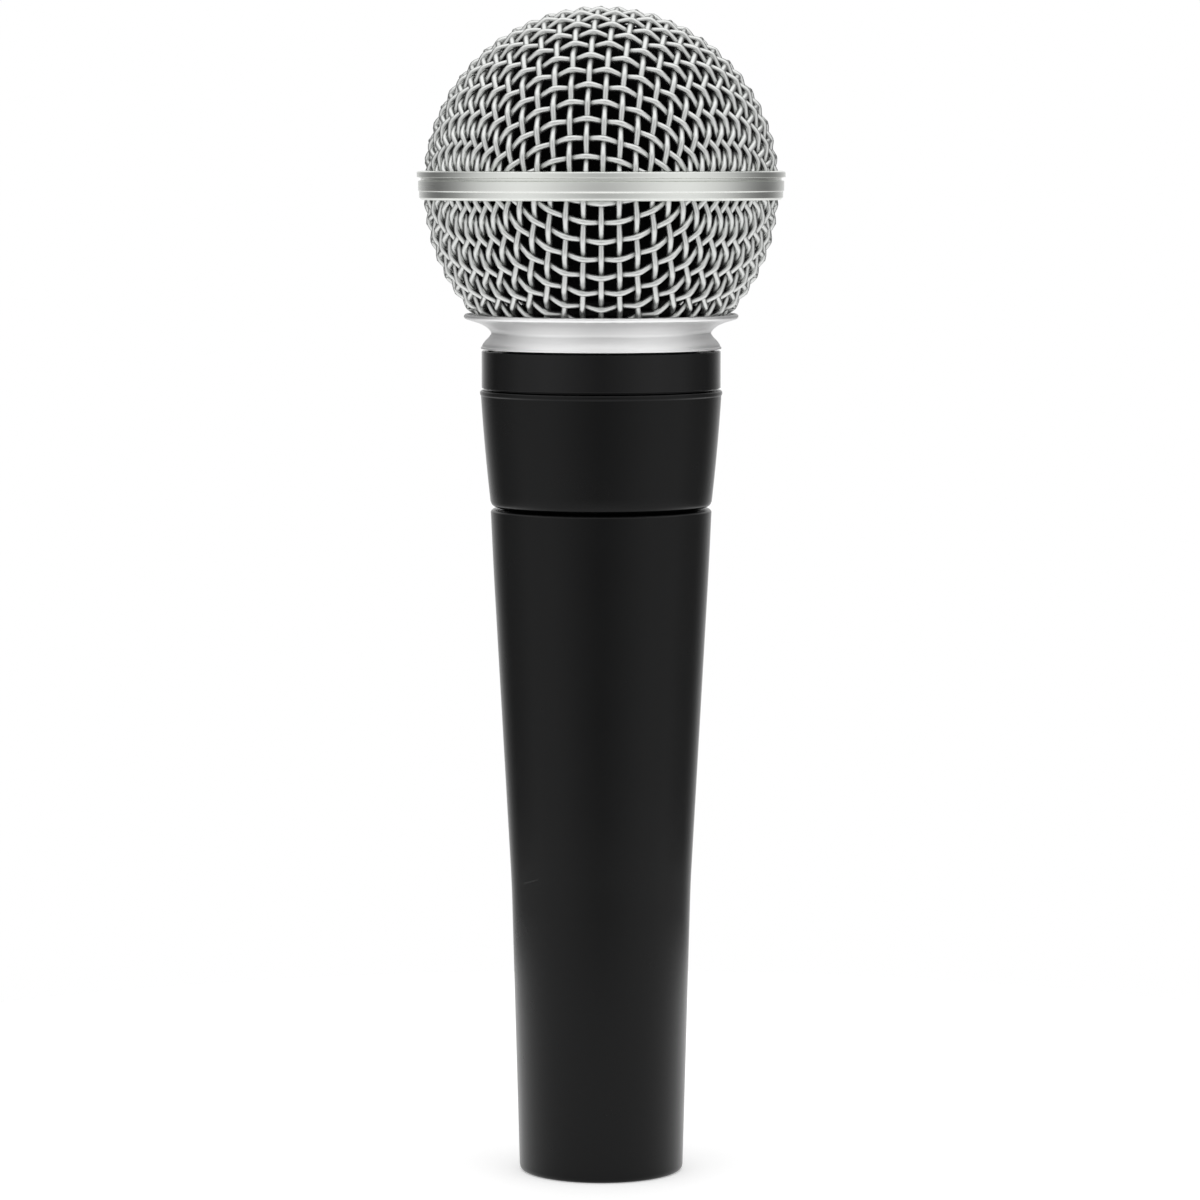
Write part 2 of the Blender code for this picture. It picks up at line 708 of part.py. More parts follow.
handle(handle_frame)
pin_places = connector(handle_frame)
lower_end, upper_end = transformer(handle_frame)
output_leads(handle_frame, pin_places, lower_end)
capsule_leads(handle_frame, upper_end)
housing(housing_frame)
shock_mount(mount_frame)
capsule_body(capsule_frame)
magnet_circuit(capsule_frame)
capsule_front(capsule_frame)
capsule_rear(capsule_frame)
diaphragm(diaphragm_frame)
foam(foam_frame)
grille(grille_frame)
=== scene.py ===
"""The looks of a handheld dynamic vocal microphone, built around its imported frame.

Shapes are worked out in millimetres on the frame's own axes and become metres in add_piece().
The microphone's axis is Z, its tail rim stands on Z = 0, and its front faces -Y.
A profile is a list of (radius, height) corners that runs down the piece's outer side. A third
number is the size of that corner's rounding, where it differs from EDGE.
"""

import math

import bmesh
import bpy
import numpy as np
from mathutils import Matrix, Vector, noise


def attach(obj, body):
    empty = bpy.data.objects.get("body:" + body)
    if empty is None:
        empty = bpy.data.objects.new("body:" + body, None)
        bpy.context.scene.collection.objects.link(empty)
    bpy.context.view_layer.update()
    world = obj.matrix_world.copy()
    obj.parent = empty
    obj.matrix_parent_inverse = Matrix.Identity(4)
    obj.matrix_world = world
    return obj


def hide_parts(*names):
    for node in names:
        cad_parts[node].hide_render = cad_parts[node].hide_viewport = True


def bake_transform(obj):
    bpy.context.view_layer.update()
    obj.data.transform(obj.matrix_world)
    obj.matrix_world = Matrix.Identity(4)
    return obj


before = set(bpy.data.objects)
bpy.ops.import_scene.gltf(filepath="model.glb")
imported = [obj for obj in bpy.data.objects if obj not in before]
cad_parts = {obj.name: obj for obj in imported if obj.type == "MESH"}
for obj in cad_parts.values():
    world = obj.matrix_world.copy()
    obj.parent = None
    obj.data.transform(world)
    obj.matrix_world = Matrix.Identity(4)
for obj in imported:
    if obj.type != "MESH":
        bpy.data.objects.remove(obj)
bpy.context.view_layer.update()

MM = 0.001
EDGE = 0.12  # rounding of a corner that names no other
ROUND_STEPS = 4
ROUND_SHARE = 0.42  # the most of a side that one rounding may take up
ROUND_MARGIN = 1.12  # where the flat side's own points are, against the rounding's reach
SMOOTH_BELOW = math.radians(38)
WAVE_PERIOD = math.tau / 20  # of a Wave Texture whose scale is 1

# Sides of turned and cut shapes.
FINE_SIDES = 192  # the turned outer parts
INNER_SIDES = 96
ROD_SIDES = 48
PIN_SIDES = 40
SMALL_SIDES = 32
HOLE_SIDES = 24

# Screw threads: both joints have a right-hand thread of this pitch. A thread is given as its
# mean radius, half its ridges' height, below 0 where it is inside a bore, and its ends.
THREAD_PITCH = 1.0
THREAD_STEP = 0.125

# Handle, with its lower end's bore and the joint's bore at the top. A box that is cut out of
# a piece is given as its size and its centre.
HANDLE = [
    (13.8, 92.3, 0), (13.95, 92.6, 0.1), (15.0, 92.6, 0.12), (15.3, 92.3, 0.12),
    (14.92, 84.0, 5.0), (12.48, 40.2, 2.5), (11.4, 0.0, 1.12), (9.65, 0.0, 0.06),
    (9.5, 0.15, 0.06), (9.5, 26.0), (8.0, 26.0), (8.0, 28.0), (9.5, 29.5), (10.53, 40.2, 1.0),
    (12.97, 84.0), (13.7, 84.0), (13.8, 84.6, 0),
]
HANDLE_THREAD = (13.8, -0.15, 84.8, 92.1)
# Short lighter line near the handle's knee: middle and half length across X, height, rise for its
# length, and half width; metres
KNEE_LINE = (-0.0099, 0.0016, 0.0415, 0.45, 0.00012)
KEYWAY = ((3.0, 1.2, 15.5), (0.0, 9.5, 6.75))
SET_SCREW_HEIGHT = 20.5
SET_SCREW_HOLE = (1.5, 7.4, 15.4)  # radius, and distances from the axis
SET_SCREW = (1.2, 9.5, 11.7)  # the same
SET_SCREW_EDGE = 0.2
SET_SCREW_SLOT = ((4.0, 1.2, 0.5), (0.0, 11.7, 20.5))

# Connector.
INSULATOR = [(0, 25.7), (9.2, 25.7), (9.2, 15.9), (8.8, 15.5), (0, 15.5)]
PIN_CIRCLE_R = 4.0
PIN_PLACES = [
    (PIN_CIRCLE_R * math.cos(math.radians(angle)), PIN_CIRCLE_R * math.sin(math.radians(angle)))
    for angle in (150, 30, 270)
]
PIN = [
    (0, 26.8), (0.75, 26.8, 0.1), (0.75, 29.5, 0.05), (1.15, 29.5, 0.06), (1.15, 25.7, 0),
    (1.2, 25.6, 0.03), (1.2, 2.8, 1.15), (0, 2.8),
]
PIN_SOCKET = (1.5, 14.0, 27.0)  # radius and ends of the hole that each pin stands in

# Cartridge housing.
HOUSING_INSIDE = [
    (13.4, 84.6), (11.3, 84.6), (11.3, 93.9), (13.3, 95.9, 0.5), (13.3, 106.85, 0.5),
    (11.3, 108.85), (11.3, 110.0), (12.4, 110.0), (12.4, 119.3), (13.73, 119.3, 0.1),
    (13.73, 118.9, 0),
]
HOUSING_TOP = [
    (13.73, 114.9, 0), (13.73, 114.3), (15.4, 114.3), (15.4, 109.05), (16.62, 109.05, 0.1),
    (16.77, 108.8, 0.14), (16.74, 108.5, 0.1), (16.62, 108.3, 0.1),
]
HOUSING_SIDE = ((16.62, 108.15), (15.34, 93.75), 0.28, 12)  # ends, bulge and number of points
HOUSING_FOOT = [(15.14, 93.2, 0.3), (14.6, 92.9, 0.2), (13.45, 92.9, 0.1), (13.33, 92.4, 0)]
HOUSING_LOWER_THREAD = (13.33, 0.22, 92.2, 85.0)
HOUSING_UPPER_THREAD = (13.73, 0.22, 118.7, 115.1)
NAMEPLATE = [(15.7, 114.5), (16.53, 114.5, 0.15), (16.53, 109.35, 0.15), (15.7, 109.35)]

# Ball grille: a band and a collar, and two halves of woven wire.
BAND = [
    (23.7, 139.3, 0.1), (25.05, 139.3, 0.15), (25.4, 139.12, 0.12), (25.4, 138.42, 0.07),
    (24.86, 138.32, 0.04), (24.86, 138.02, 0.04), (25.22, 137.9, 0.06), (25.22, 136.6, 0.08),
    (25.08, 136.42, 0.08), (25.08, 135.62, 0.1), (24.72, 135.3, 0.1), (23.7, 135.3),
]
COLLAR = [
    (18.3, 119.6, 0.08), (18.8, 119.6, 0.16), (19.0, 119.3, 0.14), (18.85, 118.98, 0.14),
    (18.2, 118.74, 0.3), (17.3, 118.48, 0.4), (16.4, 118.14, 0.4), (15.6, 117.6, 0.4),
    (15.2, 117.1, 0.25), (15.2, 116.85, 0.2), (15.5, 116.4, 0.3), (16.0, 115.92, 0.3),
    (16.36, 115.45, 0.3), (16.46, 115.12, 0.06), (16.62, 115.0, 0.06), (16.62, 114.8, 0.1),
    (14.4, 114.8, 0.15), (14.3, 115.0, 0),
]
COLLAR_THREAD = (14.3, -0.2, 115.1, 117.4)
COLLAR_CUP = [(14.3, 117.6, 0), (14.2, 117.9), (17.5, 119.0)]
WIRE_R = 0.41
WIRE_SIDES = 10
CRIMP = 0.42  # height of the waves in the wires, to either side of the middle layer
CRIMP_SHARPNESS = 0.93  # of the waves' tops: towards 1 they become corners
NET_EASE = 0.92  # share of each angle from the pole that the net would reach without a stretch
NET_STEPS = 2  # steps of the draped net to a cell: finer ones would jam before the equator
NET_REACH = 1.9  # angle from the pole, in radians, that the net's lines would run to
STEP_PARTS = 3  # points along a wire in each step of the net
UPPER_NET = {
    "radius": 23.75, "centre": 137.3, "pitches": (2.39, 2.566), "turn": -4.9,
    "pole": 1, "first_over": 1, "heights": (138.3, 162.0),
}
LOWER_NET = {
    "radius": 23.65, "centre": 136.2, "pitches": (2.546, 2.567), "turn": 0.0,
    "pole": -1, "first_over": -1, "heights": (118.75, 136.2),
}

# Foam. Lumps are the size and the height of the roughness.
WINDSCREEN = (22.45, 20.8, 137.0, 121.8)  # outer and inner radius, centre and foot
WINDSCREEN_POINTS = (110, 50)  # down the outer side and up the inner
WINDSCREEN_LUMPS = (0.8, 0.3)
CUSHION = (10.0, 40.5, 55.5)  # radius and ends
CUSHION_EDGE = 0.4
CUSHION_POINTS = (40, 20)  # down its side, and across each end
CUSHION_LUMPS = (0.9, 0.25)
CUSHION_SLOT = ((13.6, 10.6, 17.0), (0.0, 0.0, 48.0))

# Cartridge and its mount: name, finish, body, CAD node and profile of each turned piece.
CARTRIDGE_RINGS = [
    ("rubber_mount", "rubber", "shock_mount", "shock_mount", [
        (13.6, 120.6, 0.3), (13.6, 119.6, 0.3), (12.1, 119.6, 0.3), (12.1, 118.0, 0.5),
        (11.3, 117.2, 0.5), (11.3, 116.4, 0.5), (12.1, 115.6, 0.5), (12.1, 114.8, 0.5),
        (11.3, 114.0, 0.5), (11.3, 113.2, 0.5), (12.1, 112.4, 0.5), (12.1, 110.3, 0.3),
        (10.0, 110.3, 0.3), (10.0, 120.6, 0.3),
    ]),
    ("cartridge_port_cloth", "acoustic_cloth", "capsule", "rear_port_screen", [
        (12.2, 124.1, 0.05), (12.2, 122.7, 0.05), (11.8, 122.7, 0.05), (11.8, 124.1, 0.05),
    ]),
    ("magnet_yoke", "soft_iron", "capsule", "yoke_cup", [
        (0, 126.9), (7.5, 126.9), (7.5, 130.7, 0.2), (10.6, 130.7, 0.2), (10.6, 125.9, 0.4),
        (0, 125.9),
    ]),
    ("magnet_disc", "magnet_grey", "capsule", "magnet", [
        (0, 129.2), (6.0, 129.2, 0.25), (6.0, 127.2, 0.25), (0, 127.2),
    ]),
    ("magnet_pole", "soft_iron", "capsule", "pole_piece", [
        (0, 130.7), (6.3, 130.7, 0.15), (6.3, 129.5, 0.3), (0, 129.5),
    ]),
    ("seat_ring", "brass_ring", "capsule", "diaphragm_seat_ring", [
        (12.1, 131.2, 0.1), (12.1, 125.9, 0.25), (10.9, 125.9, 0.25), (10.9, 131.2, 0.1),
    ]),
    ("clamp_ring", "brass_ring", "capsule", "diaphragm_clamp_ring", [
        (12.1, 133.2, 0.15), (12.1, 132.6, 0.05), (11.0, 132.6, 0.05), (11.0, 133.2, 0.2),
    ]),
    ("air_chamber", "black_plastic", "capsule", "rear_air_chamber", [
        (0, 97.0), (8.7, 97.0, 0.4), (8.7, 109.2, 0.15), (9.6, 109.2, 0.15), (9.6, 103.2, 0.1),
        (9.35, 102.95, 0.1), (9.35, 102.25, 0.1), (9.6, 102.0, 0.1), (9.6, 96.0, 0.6),
        (0, 96.0),
    ]),
]
CARTRIDGE_SHELL = [
    (13.6, 133.2, 0.2), (13.6, 130.6, 0.1), (13.35, 130.35, 0.1), (13.35, 129.85, 0.1),
    (13.6, 129.6, 0.1), (13.6, 124.4, 0.25), (11.5, 124.4, 0.1), (11.5, 122.6, 0.1),
    (9.6, 121.7, 0.2), (9.6, 109.5, 0.15), (8.4, 109.5, 0.15), (8.4, 125.6, 0.3),
    (12.4, 125.6, 0.3), (12.4, 133.2, 0.15),
]
REAR_PORTS = (8, (27.4, 2.4, 1.3), 123.5)  # count, size of a cut across both sides, height
FRONT_CAP = [
    (0, 134.5), (12.9, 134.5, 0.05), (12.9, 135.4, 0.1), (13.6, 135.4, 0.2), (13.6, 133.5, 0.2),
    (0, 133.5),
]
FRONT_HOLE = (0.95, 132.5, 136.4)  # radius and ends
FRONT_HOLE_RINGS = ((0.0, 1), (4.6, 6), (9.2, 10))  # distance from the axis and count
FRONT_HOLE_TURN = 12
FRONT_SCREEN = [(0, 135.4), (12.6, 135.4, 0.05), (12.6, 134.8, 0.05), (0, 134.8)]
DIAPHRAGM_RIM = (11.8, 131.75, 0.3)  # radius, height and thickness
DIAPHRAGM_POINTS = 60
DIAPHRAGM_SURROUND = (10.9, 7.5, 0.35)  # outer and inner radius, and rise
DIAPHRAGM_DOME = (7.1, 0.85)  # radius and rise
DIAPHRAGM_FOLDS = (40, 0.09, 4.4)  # count, height, and slant in radians for each millimetre
COIL = (6.65, 7.1, 128.3, 131.4)  # inner and outer radius, and ends
COIL_PITCH = 0.155
COIL_TURN_POINTS = 4
BOARD = [(0, 95.7), (8.5, 95.7, 0.1), (8.5, 94.7, 0.1), (0, 94.7)]
TAB_SIZE, TAB_X, TAB_Z = (2.0, 0.5, 3.5), 4.0, 92.65
TAB_HOLE = (0.55, 91.9)  # radius and height
TAB_BEVEL = 0.08
EYELET = [(0.9, 94.78, 0.04), (0.9, 94.5, 0.08), (0.5, 94.5, 0.08), (0.5, 94.78, 0.04)]
EYELET_Y = 5.5

# Transformer.
CORE_SIZE, CORE_Z = (13.0, 0.46, 11.0), 48.0
CORE_PLATES, CORE_PITCH = 11, 0.504
CORE_WINDOW, CORE_WINDOW_X = (2.8, 2.0, 7.8), 3.2
WINDING_OUTER, WINDING_INNER, WINDING_HEIGHT = (8.4, 9.6), (5.8, 7.7), 5.4
WINDING_WIRE_R = 0.15
WINDING_WIRE_SIDES = 8
WINDING_CORNER = 0.9
CORNER_STEPS = 6  # steps of the winding round each corner
FORMER_BEVEL = 0.1

# Leads.
LEAD_R = 0.45
LEAD_SIDES = 12
OUTPUT_LEAD_POINTS = 60
OUTPUT_LEAD_Z = (27.1, 44.1)
OUTPUT_LEAD_BEND = (29.5, 40.1)  # between these heights a lead moves over to its far end
OUTPUT_LEAD_ENDS = ((-2.0, 4.0), (2.0, 4.0), (0.0, -4.0))
CAPSULE_LEAD_POINTS = 120
CAPSULE_LEAD_Z = (51.9, 93.0)
CAPSULE_LEAD_FROM, CAPSULE_LEAD_TO = (1.5, 4.0), (4.0, 1.2)

# Camera and stage.
CAMERA = (-0.00016, -0.697, 0.142)
CAMERA_TARGET = (-0.00016, 0.0, 0.0799)
CAMERA_LENS, CAMERA_SENSOR = 151.2, 36.0
FLOOR_R = 0.17  # small, so that the handle mirrors the studio and not the floor
FLOOR_DROP = 2e-5
# Brightness of the studio round the microphone, by the angle from the front, in degrees
# counted towards +X.
STUDIO = [
    (-180, 1.15), (-165, 0.9), (-150, 0.48), (-138, 0.22), (-124, 0.11), (-102, 0.32),
    (-83, 0.72), (-55, 1.0), (-38, 0.9), (-22, 0.7), (0, 0.46), (22, 0.7), (38, 0.9),
    (55, 1.0), (83, 0.74), (102, 0.34), (124, 0.13), (138, 0.24), (150, 0.5), (165, 0.9),
    (180, 1.15),
]
# Brightness above and below, with the heights of a direction at which each starts and is full.
STUDIO_OVERHEAD = (1.4, 0.45, 0.9)
STUDIO_UNDER = (1.1, -0.3, -0.5)  # a white table, beyond the floor
STUDIO_STRENGTH = 2.0  # the colours above are divided by it, to stay under 1


# Materials ---------------------------------------------------------------------------------


def node(tree, kind, inputs=None, **settings):
    """Adds a shader node. An input that is another node's socket is linked."""
    made = tree.nodes.new(kind)
    for key, value in settings.items():
        setattr(made, key, value)
    for key, value in (inputs or {}).items():
        if isinstance(value, bpy.types.NodeSocket):
            tree.links.new(value, made.inputs[key])
        else:
            made.inputs[key].default_value = value
    return made


def new_material(name, **sockets):
    """A material and its Principled shader. Each socket is given with _ for a space."""
    material = bpy.data.materials.new(name)
    material.use_nodes = True
    shader = material.node_tree.nodes["Principled BSDF"]
    for key, value in sockets.items():
        shader.inputs[key.replace("_", " ")].default_value = value
    return material, material.node_tree, shader


def place(tree, scale=(1, 1, 1)):
    """Coordinates in metres in the piece's own frame, stretched by scale."""
    coordinates = node(tree, "ShaderNodeTexCoord")
    mapping = node(
        tree, "ShaderNodeMapping", {"Vector": coordinates.outputs["Object"], "Scale": scale}
    )
    return mapping.outputs["Vector"]


def spread(tree, value, low, high):
    """A 0 to 1 value turned to one from low to high."""
    return node(
        tree, "ShaderNodeMapRange", {"Value": value, "To Min": low, "To Max": high}
    ).outputs["Result"]


def mixed(tree, factor, dark, light):
    """A colour from dark, where the factor is 0, to light, where it is 1."""
    made = node(
        tree, "ShaderNodeMix", {"Factor": factor}, data_type="RGBA", clamp_factor=True
    )
    made.inputs[6].default_value = (*dark, 1)
    made.inputs[7].default_value = (*light, 1)
    return made.outputs[2]


def grain(tree, scale, stretch=(1, 1, 1), detail=3.0):
    """Noise from 0 to 1, with scale lumps to a metre along an axis that isn't stretched."""
    made = node(
        tree, "ShaderNodeTexNoise", {"Vector": place(tree, stretch), "Scale": scale,
                                     "Detail": detail, "Roughness": 0.6},
    )
    return made.outputs["Fac"]


def maths(tree, operation, *values):
    made = node(tree, "ShaderNodeMath", dict(enumerate(values)), operation=operation)
    return made.outputs[0]


def relief(tree, shader, height, depth, strength=1.0, invert=False):
    """Bump from a 0 to 1 height that stands for depth metres."""
    bump = node(
        tree, "ShaderNodeBump", {"Height": height, "Distance": depth, "Strength": strength},
        invert=invert,
    )
    tree.links.new(bump.outputs["Normal"], shader.inputs["Normal"])


def finish(name, dark, light, roughness, scale, depth, stretch=(1, 1, 1), **sockets):
    """A surface whose colour, roughness and relief all vary with one grain."""
    material, tree, shader = new_material(name, **sockets)
    fine = grain(tree, scale, stretch)
    broad = grain(tree, scale / 9, stretch, 2.0)
    tree.links.new(mixed(tree, broad, dark, light), shader.inputs["Base Color"])
    tree.links.new(spread(tree, broad, *roughness), shader.inputs["Roughness"])
    relief(tree, shader, fine, depth)
    return material


def turned_metal(name, dark, light, roughness, depth=1.5e-6, **sockets):
    """Metal with the fine lines that a lathe leaves round Z."""
    return finish(
        name, dark, light, roughness, 100.0, depth, (0.6, 0.6, 90.0), Metallic=1.0, **sockets
    )


def wound_copper(name):
    """Enamelled copper wire, a little uneven in colour."""
    material, tree, shader = new_material(name, Metallic=1.0, Roughness=0.3)
    fine = grain(tree, 900.0, (1, 1, 4))
    tree.links.new(
        mixed(tree, fine, (0.42, 0.12, 0.035), (0.72, 0.27, 0.09)), shader.inputs["Base Color"]
    )
    relief(tree, shader, fine, 4e-6)
    return material


def striped(name, dark, light, roughness, pitch, axis, depth, **sockets):
    """Straight lines of one pitch in metres across an axis, such as a stack's edges."""
    material, tree, shader = new_material(name, **sockets)
    wave = node(
        tree, "ShaderNodeTexWave",
        {"Vector": place(tree), "Scale": WAVE_PERIOD / pitch, "Distortion": 0.4,
         "Detail": 1.0, "Detail Scale": 2.0},
        wave_type="BANDS", bands_direction=axis,
    ).outputs["Fac"]
    tree.links.new(mixed(tree, wave, dark, light), shader.inputs["Base Color"])
    tree.links.new(spread(tree, wave, *roughness), shader.inputs["Roughness"])
    relief(tree, shader, wave, depth)
    return material


def woven(name, dark, light, pitch, depth, roughness, **sockets):
    """Threads that cross, with the gaps between them dark."""
    material, tree, shader = new_material(name, Roughness=roughness, **sockets)
    waves = []
    for axis in "XYZ":
        waves.append(node(
            tree, "ShaderNodeTexWave",
            {"Vector": place(tree), "Scale": WAVE_PERIOD / pitch, "Distortion": 0.3,
             "Detail": 1.0, "Detail Scale": 1.5},
            wave_type="BANDS", bands_direction=axis,
        ).outputs["Fac"])
    height = maths(tree, "MAXIMUM", maths(tree, "MAXIMUM", *waves[:2]), waves[2])
    tree.links.new(mixed(tree, height, dark, light), shader.inputs["Base Color"])
    relief(tree, shader, height, depth)
    return material


def porous(name, dark, light, cell):
    """Open-cell foam: pits of one size in metres, in a matt surface."""
    material, tree, shader = new_material(name, Roughness=1.0, Specular_IOR_Level=0.1)
    pits = node(
        tree, "ShaderNodeTexVoronoi", {"Vector": place(tree), "Scale": 1 / cell},
        feature="SMOOTH_F1",
    ).outputs["Distance"]
    tree.links.new(mixed(tree, pits, light, dark), shader.inputs["Base Color"])
    relief(tree, shader, pits, cell / 2, 0.9, invert=True)
    return material


def knee_line(tree):
    """1 along a short faint line on the front left of the handle, and 0 elsewhere."""
    axes = node(tree, "ShaderNodeSeparateXYZ", {"Vector": place(tree)}).outputs
    middle, half, height, rise, width = KNEE_LINE
    along = maths(tree, "ADD", axes["X"], -middle)
    line = maths(tree, "MULTIPLY_ADD", along, rise, height)
    off_line = maths(tree, "ABSOLUTE", maths(tree, "SUBTRACT", axes["Z"], line))
    mask = maths(tree, "LESS_THAN", axes["Y"], 0.0)
    for distance, limit in ((off_line, width), (maths(tree, "ABSOLUTE", along), half)):
        near = node(
            tree, "ShaderNodeMapRange",
            {"Value": distance, "From Min": limit, "From Max": 0.3 * limit},
        ).outputs[0]
        mask = maths(tree, "MULTIPLY", mask, near)
    return mask


def body_paint(name):
    """Dark enamel with a fine texture, and a lighter colour along one short faint line near the
    knee.
    """
    material, tree, shader = new_material(name, Specular_Tint=(0.36, 0.36, 0.36, 1))
    fine = grain(tree, 2600.0)
    broad = grain(tree, 160.0, (1, 1, 1), 4.0)
    # The enamel's colour is lighter along a short line near the handle's knee.
    colour = node(tree, "ShaderNodeMix", {"Factor": knee_line(tree)}, data_type="RGBA")
    colour.inputs[7].default_value = (0.022, 0.022, 0.022, 1)
    plain = mixed(tree, broad, (0.0011, 0.0012, 0.0013), (0.002, 0.0021, 0.0022))
    tree.links.new(plain, colour.inputs[6])
    tree.links.new(colour.outputs[2], shader.inputs["Base Color"])
    tree.links.new(spread(tree, broad, 0.22, 0.3), shader.inputs["Roughness"])
    relief(tree, shader, fine, 5e-6)
    return material


def make_materials():
    steel = {"Metallic": 1.0}
    made = {
        "body_paint": body_paint("body_paint"),
        "nameplate": finish(
            "nameplate", (0.002, 0.002, 0.0022), (0.003, 0.003, 0.0033), (0.14, 0.22), 1400.0,
            1.5e-6, Specular_IOR_Level=0.24,
        ),
        "trim_steel": turned_metal(
            "trim_steel", (0.73, 0.745, 0.715), (0.79, 0.805, 0.775), (0.24, 0.32)
        ),
        "collar_satin": turned_metal(
            "collar_satin", (0.9, 0.9, 0.9), (0.94, 0.94, 0.94), (0.4, 0.48),
            Specular_Tint=(0.45, 0.45, 0.45, 1),
        ),
        "grille_steel": finish(
            "grille_steel", (0.635, 0.645, 0.632), (0.775, 0.785, 0.773), (0.33, 0.43), 2200.0,
            5e-6, Specular_Tint=(0.05, 0.05, 0.05, 1), **steel,
        ),
        "foam": porous("foam", (0.0004, 0.0004, 0.0004), (0.002, 0.002, 0.002), 0.0006),
        "rubber": finish(
            "rubber", (0.008, 0.008, 0.008), (0.014, 0.014, 0.014), (0.6, 0.8), 1500.0, 1e-5,
            Specular_IOR_Level=0.3,
        ),
        "black_plastic": finish(
            "black_plastic", (0.01, 0.01, 0.011), (0.016, 0.016, 0.017), (0.4, 0.55), 2400.0,
            6e-6, Specular_IOR_Level=0.35,
        ),
        "contact_silver": turned_metal(
            "contact_silver", (0.7, 0.68, 0.62), (0.8, 0.78, 0.72), (0.14, 0.26)
        ),
        "screw_steel": finish(
            "screw_steel", (0.2, 0.2, 0.2), (0.3, 0.3, 0.3), (0.28, 0.42), 1800.0, 5e-6, **steel
        ),
        "soft_iron": turned_metal(
            "soft_iron", (0.24, 0.24, 0.25), (0.34, 0.34, 0.35), (0.28, 0.42), 3e-6
        ),
        "magnet_grey": finish(
            "magnet_grey", (0.16, 0.16, 0.17), (0.24, 0.24, 0.25), (0.4, 0.55), 1200.0, 1.5e-5,
            **steel,
        ),
        "lamination": striped(
            "lamination", (0.03, 0.03, 0.034), (0.13, 0.13, 0.14), (0.6, 0.35), 0.0005, "Y",
            3e-5, Metallic=0.9,
        ),
        "former_plastic": finish(
            "former_plastic", (0.6, 0.55, 0.43), (0.7, 0.65, 0.53), (0.4, 0.55), 900.0, 8e-6,
            Subsurface_Weight=0.1, Subsurface_Radius=(0.001, 0.0008, 0.0005),
        ),
        "copper_wire": wound_copper("copper_wire"),
        "brass_ring": turned_metal(
            "brass_ring", (0.5, 0.36, 0.14), (0.62, 0.46, 0.2), (0.25, 0.4), 2e-6
        ),
        "film": finish(
            "film", (0.6, 0.62, 0.6), (0.72, 0.74, 0.72), (0.08, 0.16), 500.0, 1e-5,
            Transmission_Weight=0.55, IOR=1.5,
        ),
        "fine_screen": woven(
            "fine_screen", (0.1, 0.1, 0.1), (0.6, 0.6, 0.58), 0.0003, 5e-5, 0.35, **steel
        ),
        "acoustic_cloth": woven(
            "acoustic_cloth", (0.05, 0.047, 0.04), (0.2, 0.19, 0.165), 0.00035, 6e-5, 0.9
        ),
        "board": woven("board", (0.1, 0.045, 0.012), (0.2, 0.1, 0.03), 0.0008, 1e-5, 0.5),
        "tinned_brass": finish(
            "tinned_brass", (0.55, 0.52, 0.44), (0.7, 0.67, 0.6), (0.25, 0.4), 1300.0, 6e-6,
            **steel,
        ),
    }
    for colour, dark, light in (
        ("red", (0.28, 0.008, 0.006), (0.4, 0.014, 0.01)),
        ("black", (0.006, 0.006, 0.006), (0.011, 0.011, 0.011)),
        ("green", (0.008, 0.16, 0.03), (0.014, 0.25, 0.05)),
        ("yellow", (0.5, 0.36, 0.02), (0.66, 0.5, 0.035)),
        ("blue", (0.008, 0.04, 0.25), (0.014, 0.07, 0.4)),
    ):
        made[f"{colour}_wire"] = finish(
            f"{colour}_wire", dark, light, (0.35, 0.5), 1500.0, 4e-6
        )
    return made


# Shapes ------------------------------------------------------------------------------------


def new_mesh(name, vertices, faces):
    mesh = bpy.data.meshes.new(name)
    mesh.from_pydata(vertices, [], faces)
    return mesh


def rounded(corners, closed=True):
    """The profile's points as (radius, height, 0), with its corners rounded."""
    points = []
    count = len(corners)
    for index, corner in enumerate(corners):
        here = Vector(corner[:2])
        size = corner[2] if len(corner) > 2 else EDGE
        at_end = not closed and index in (0, count - 1)
        if at_end or size == 0:
            points.append((*here, 0.0))
            continue
        before = Vector(corners[index - 1][:2]) - here
        after = Vector(corners[(index + 1) % count][:2]) - here
        reach = min(size, ROUND_SHARE * before.length, ROUND_SHARE * after.length)
        start, end = here + before.normalized() * reach, here + after.normalized() * reach
        # A point just outside each end of the rounding keeps the flat sides' shading flat.
        points.append((*(here + before.normalized() * reach * ROUND_MARGIN), 0.0))
        for step in range(ROUND_STEPS + 1):
            t = step / ROUND_STEPS
            point = start * (1 - t) ** 2 + here * 2 * t * (1 - t) + end * t * t
            points.append((*point, 0.0))
        points.append((*(here + after.normalized() * reach * ROUND_MARGIN), 0.0))
    return points


def thread(radius, ridge, start, end):
    """Profile points along a screw thread. Their third number is half the ridge's height."""
    count = round(abs(end - start) / THREAD_STEP)
    points = []
    for step in range(count + 1):
        height = start + (end - start) * step / count
        fade = min(1.0, min(step, count - step) * THREAD_STEP / THREAD_PITCH)
        points.append((radius, height, ridge * fade))
    return points


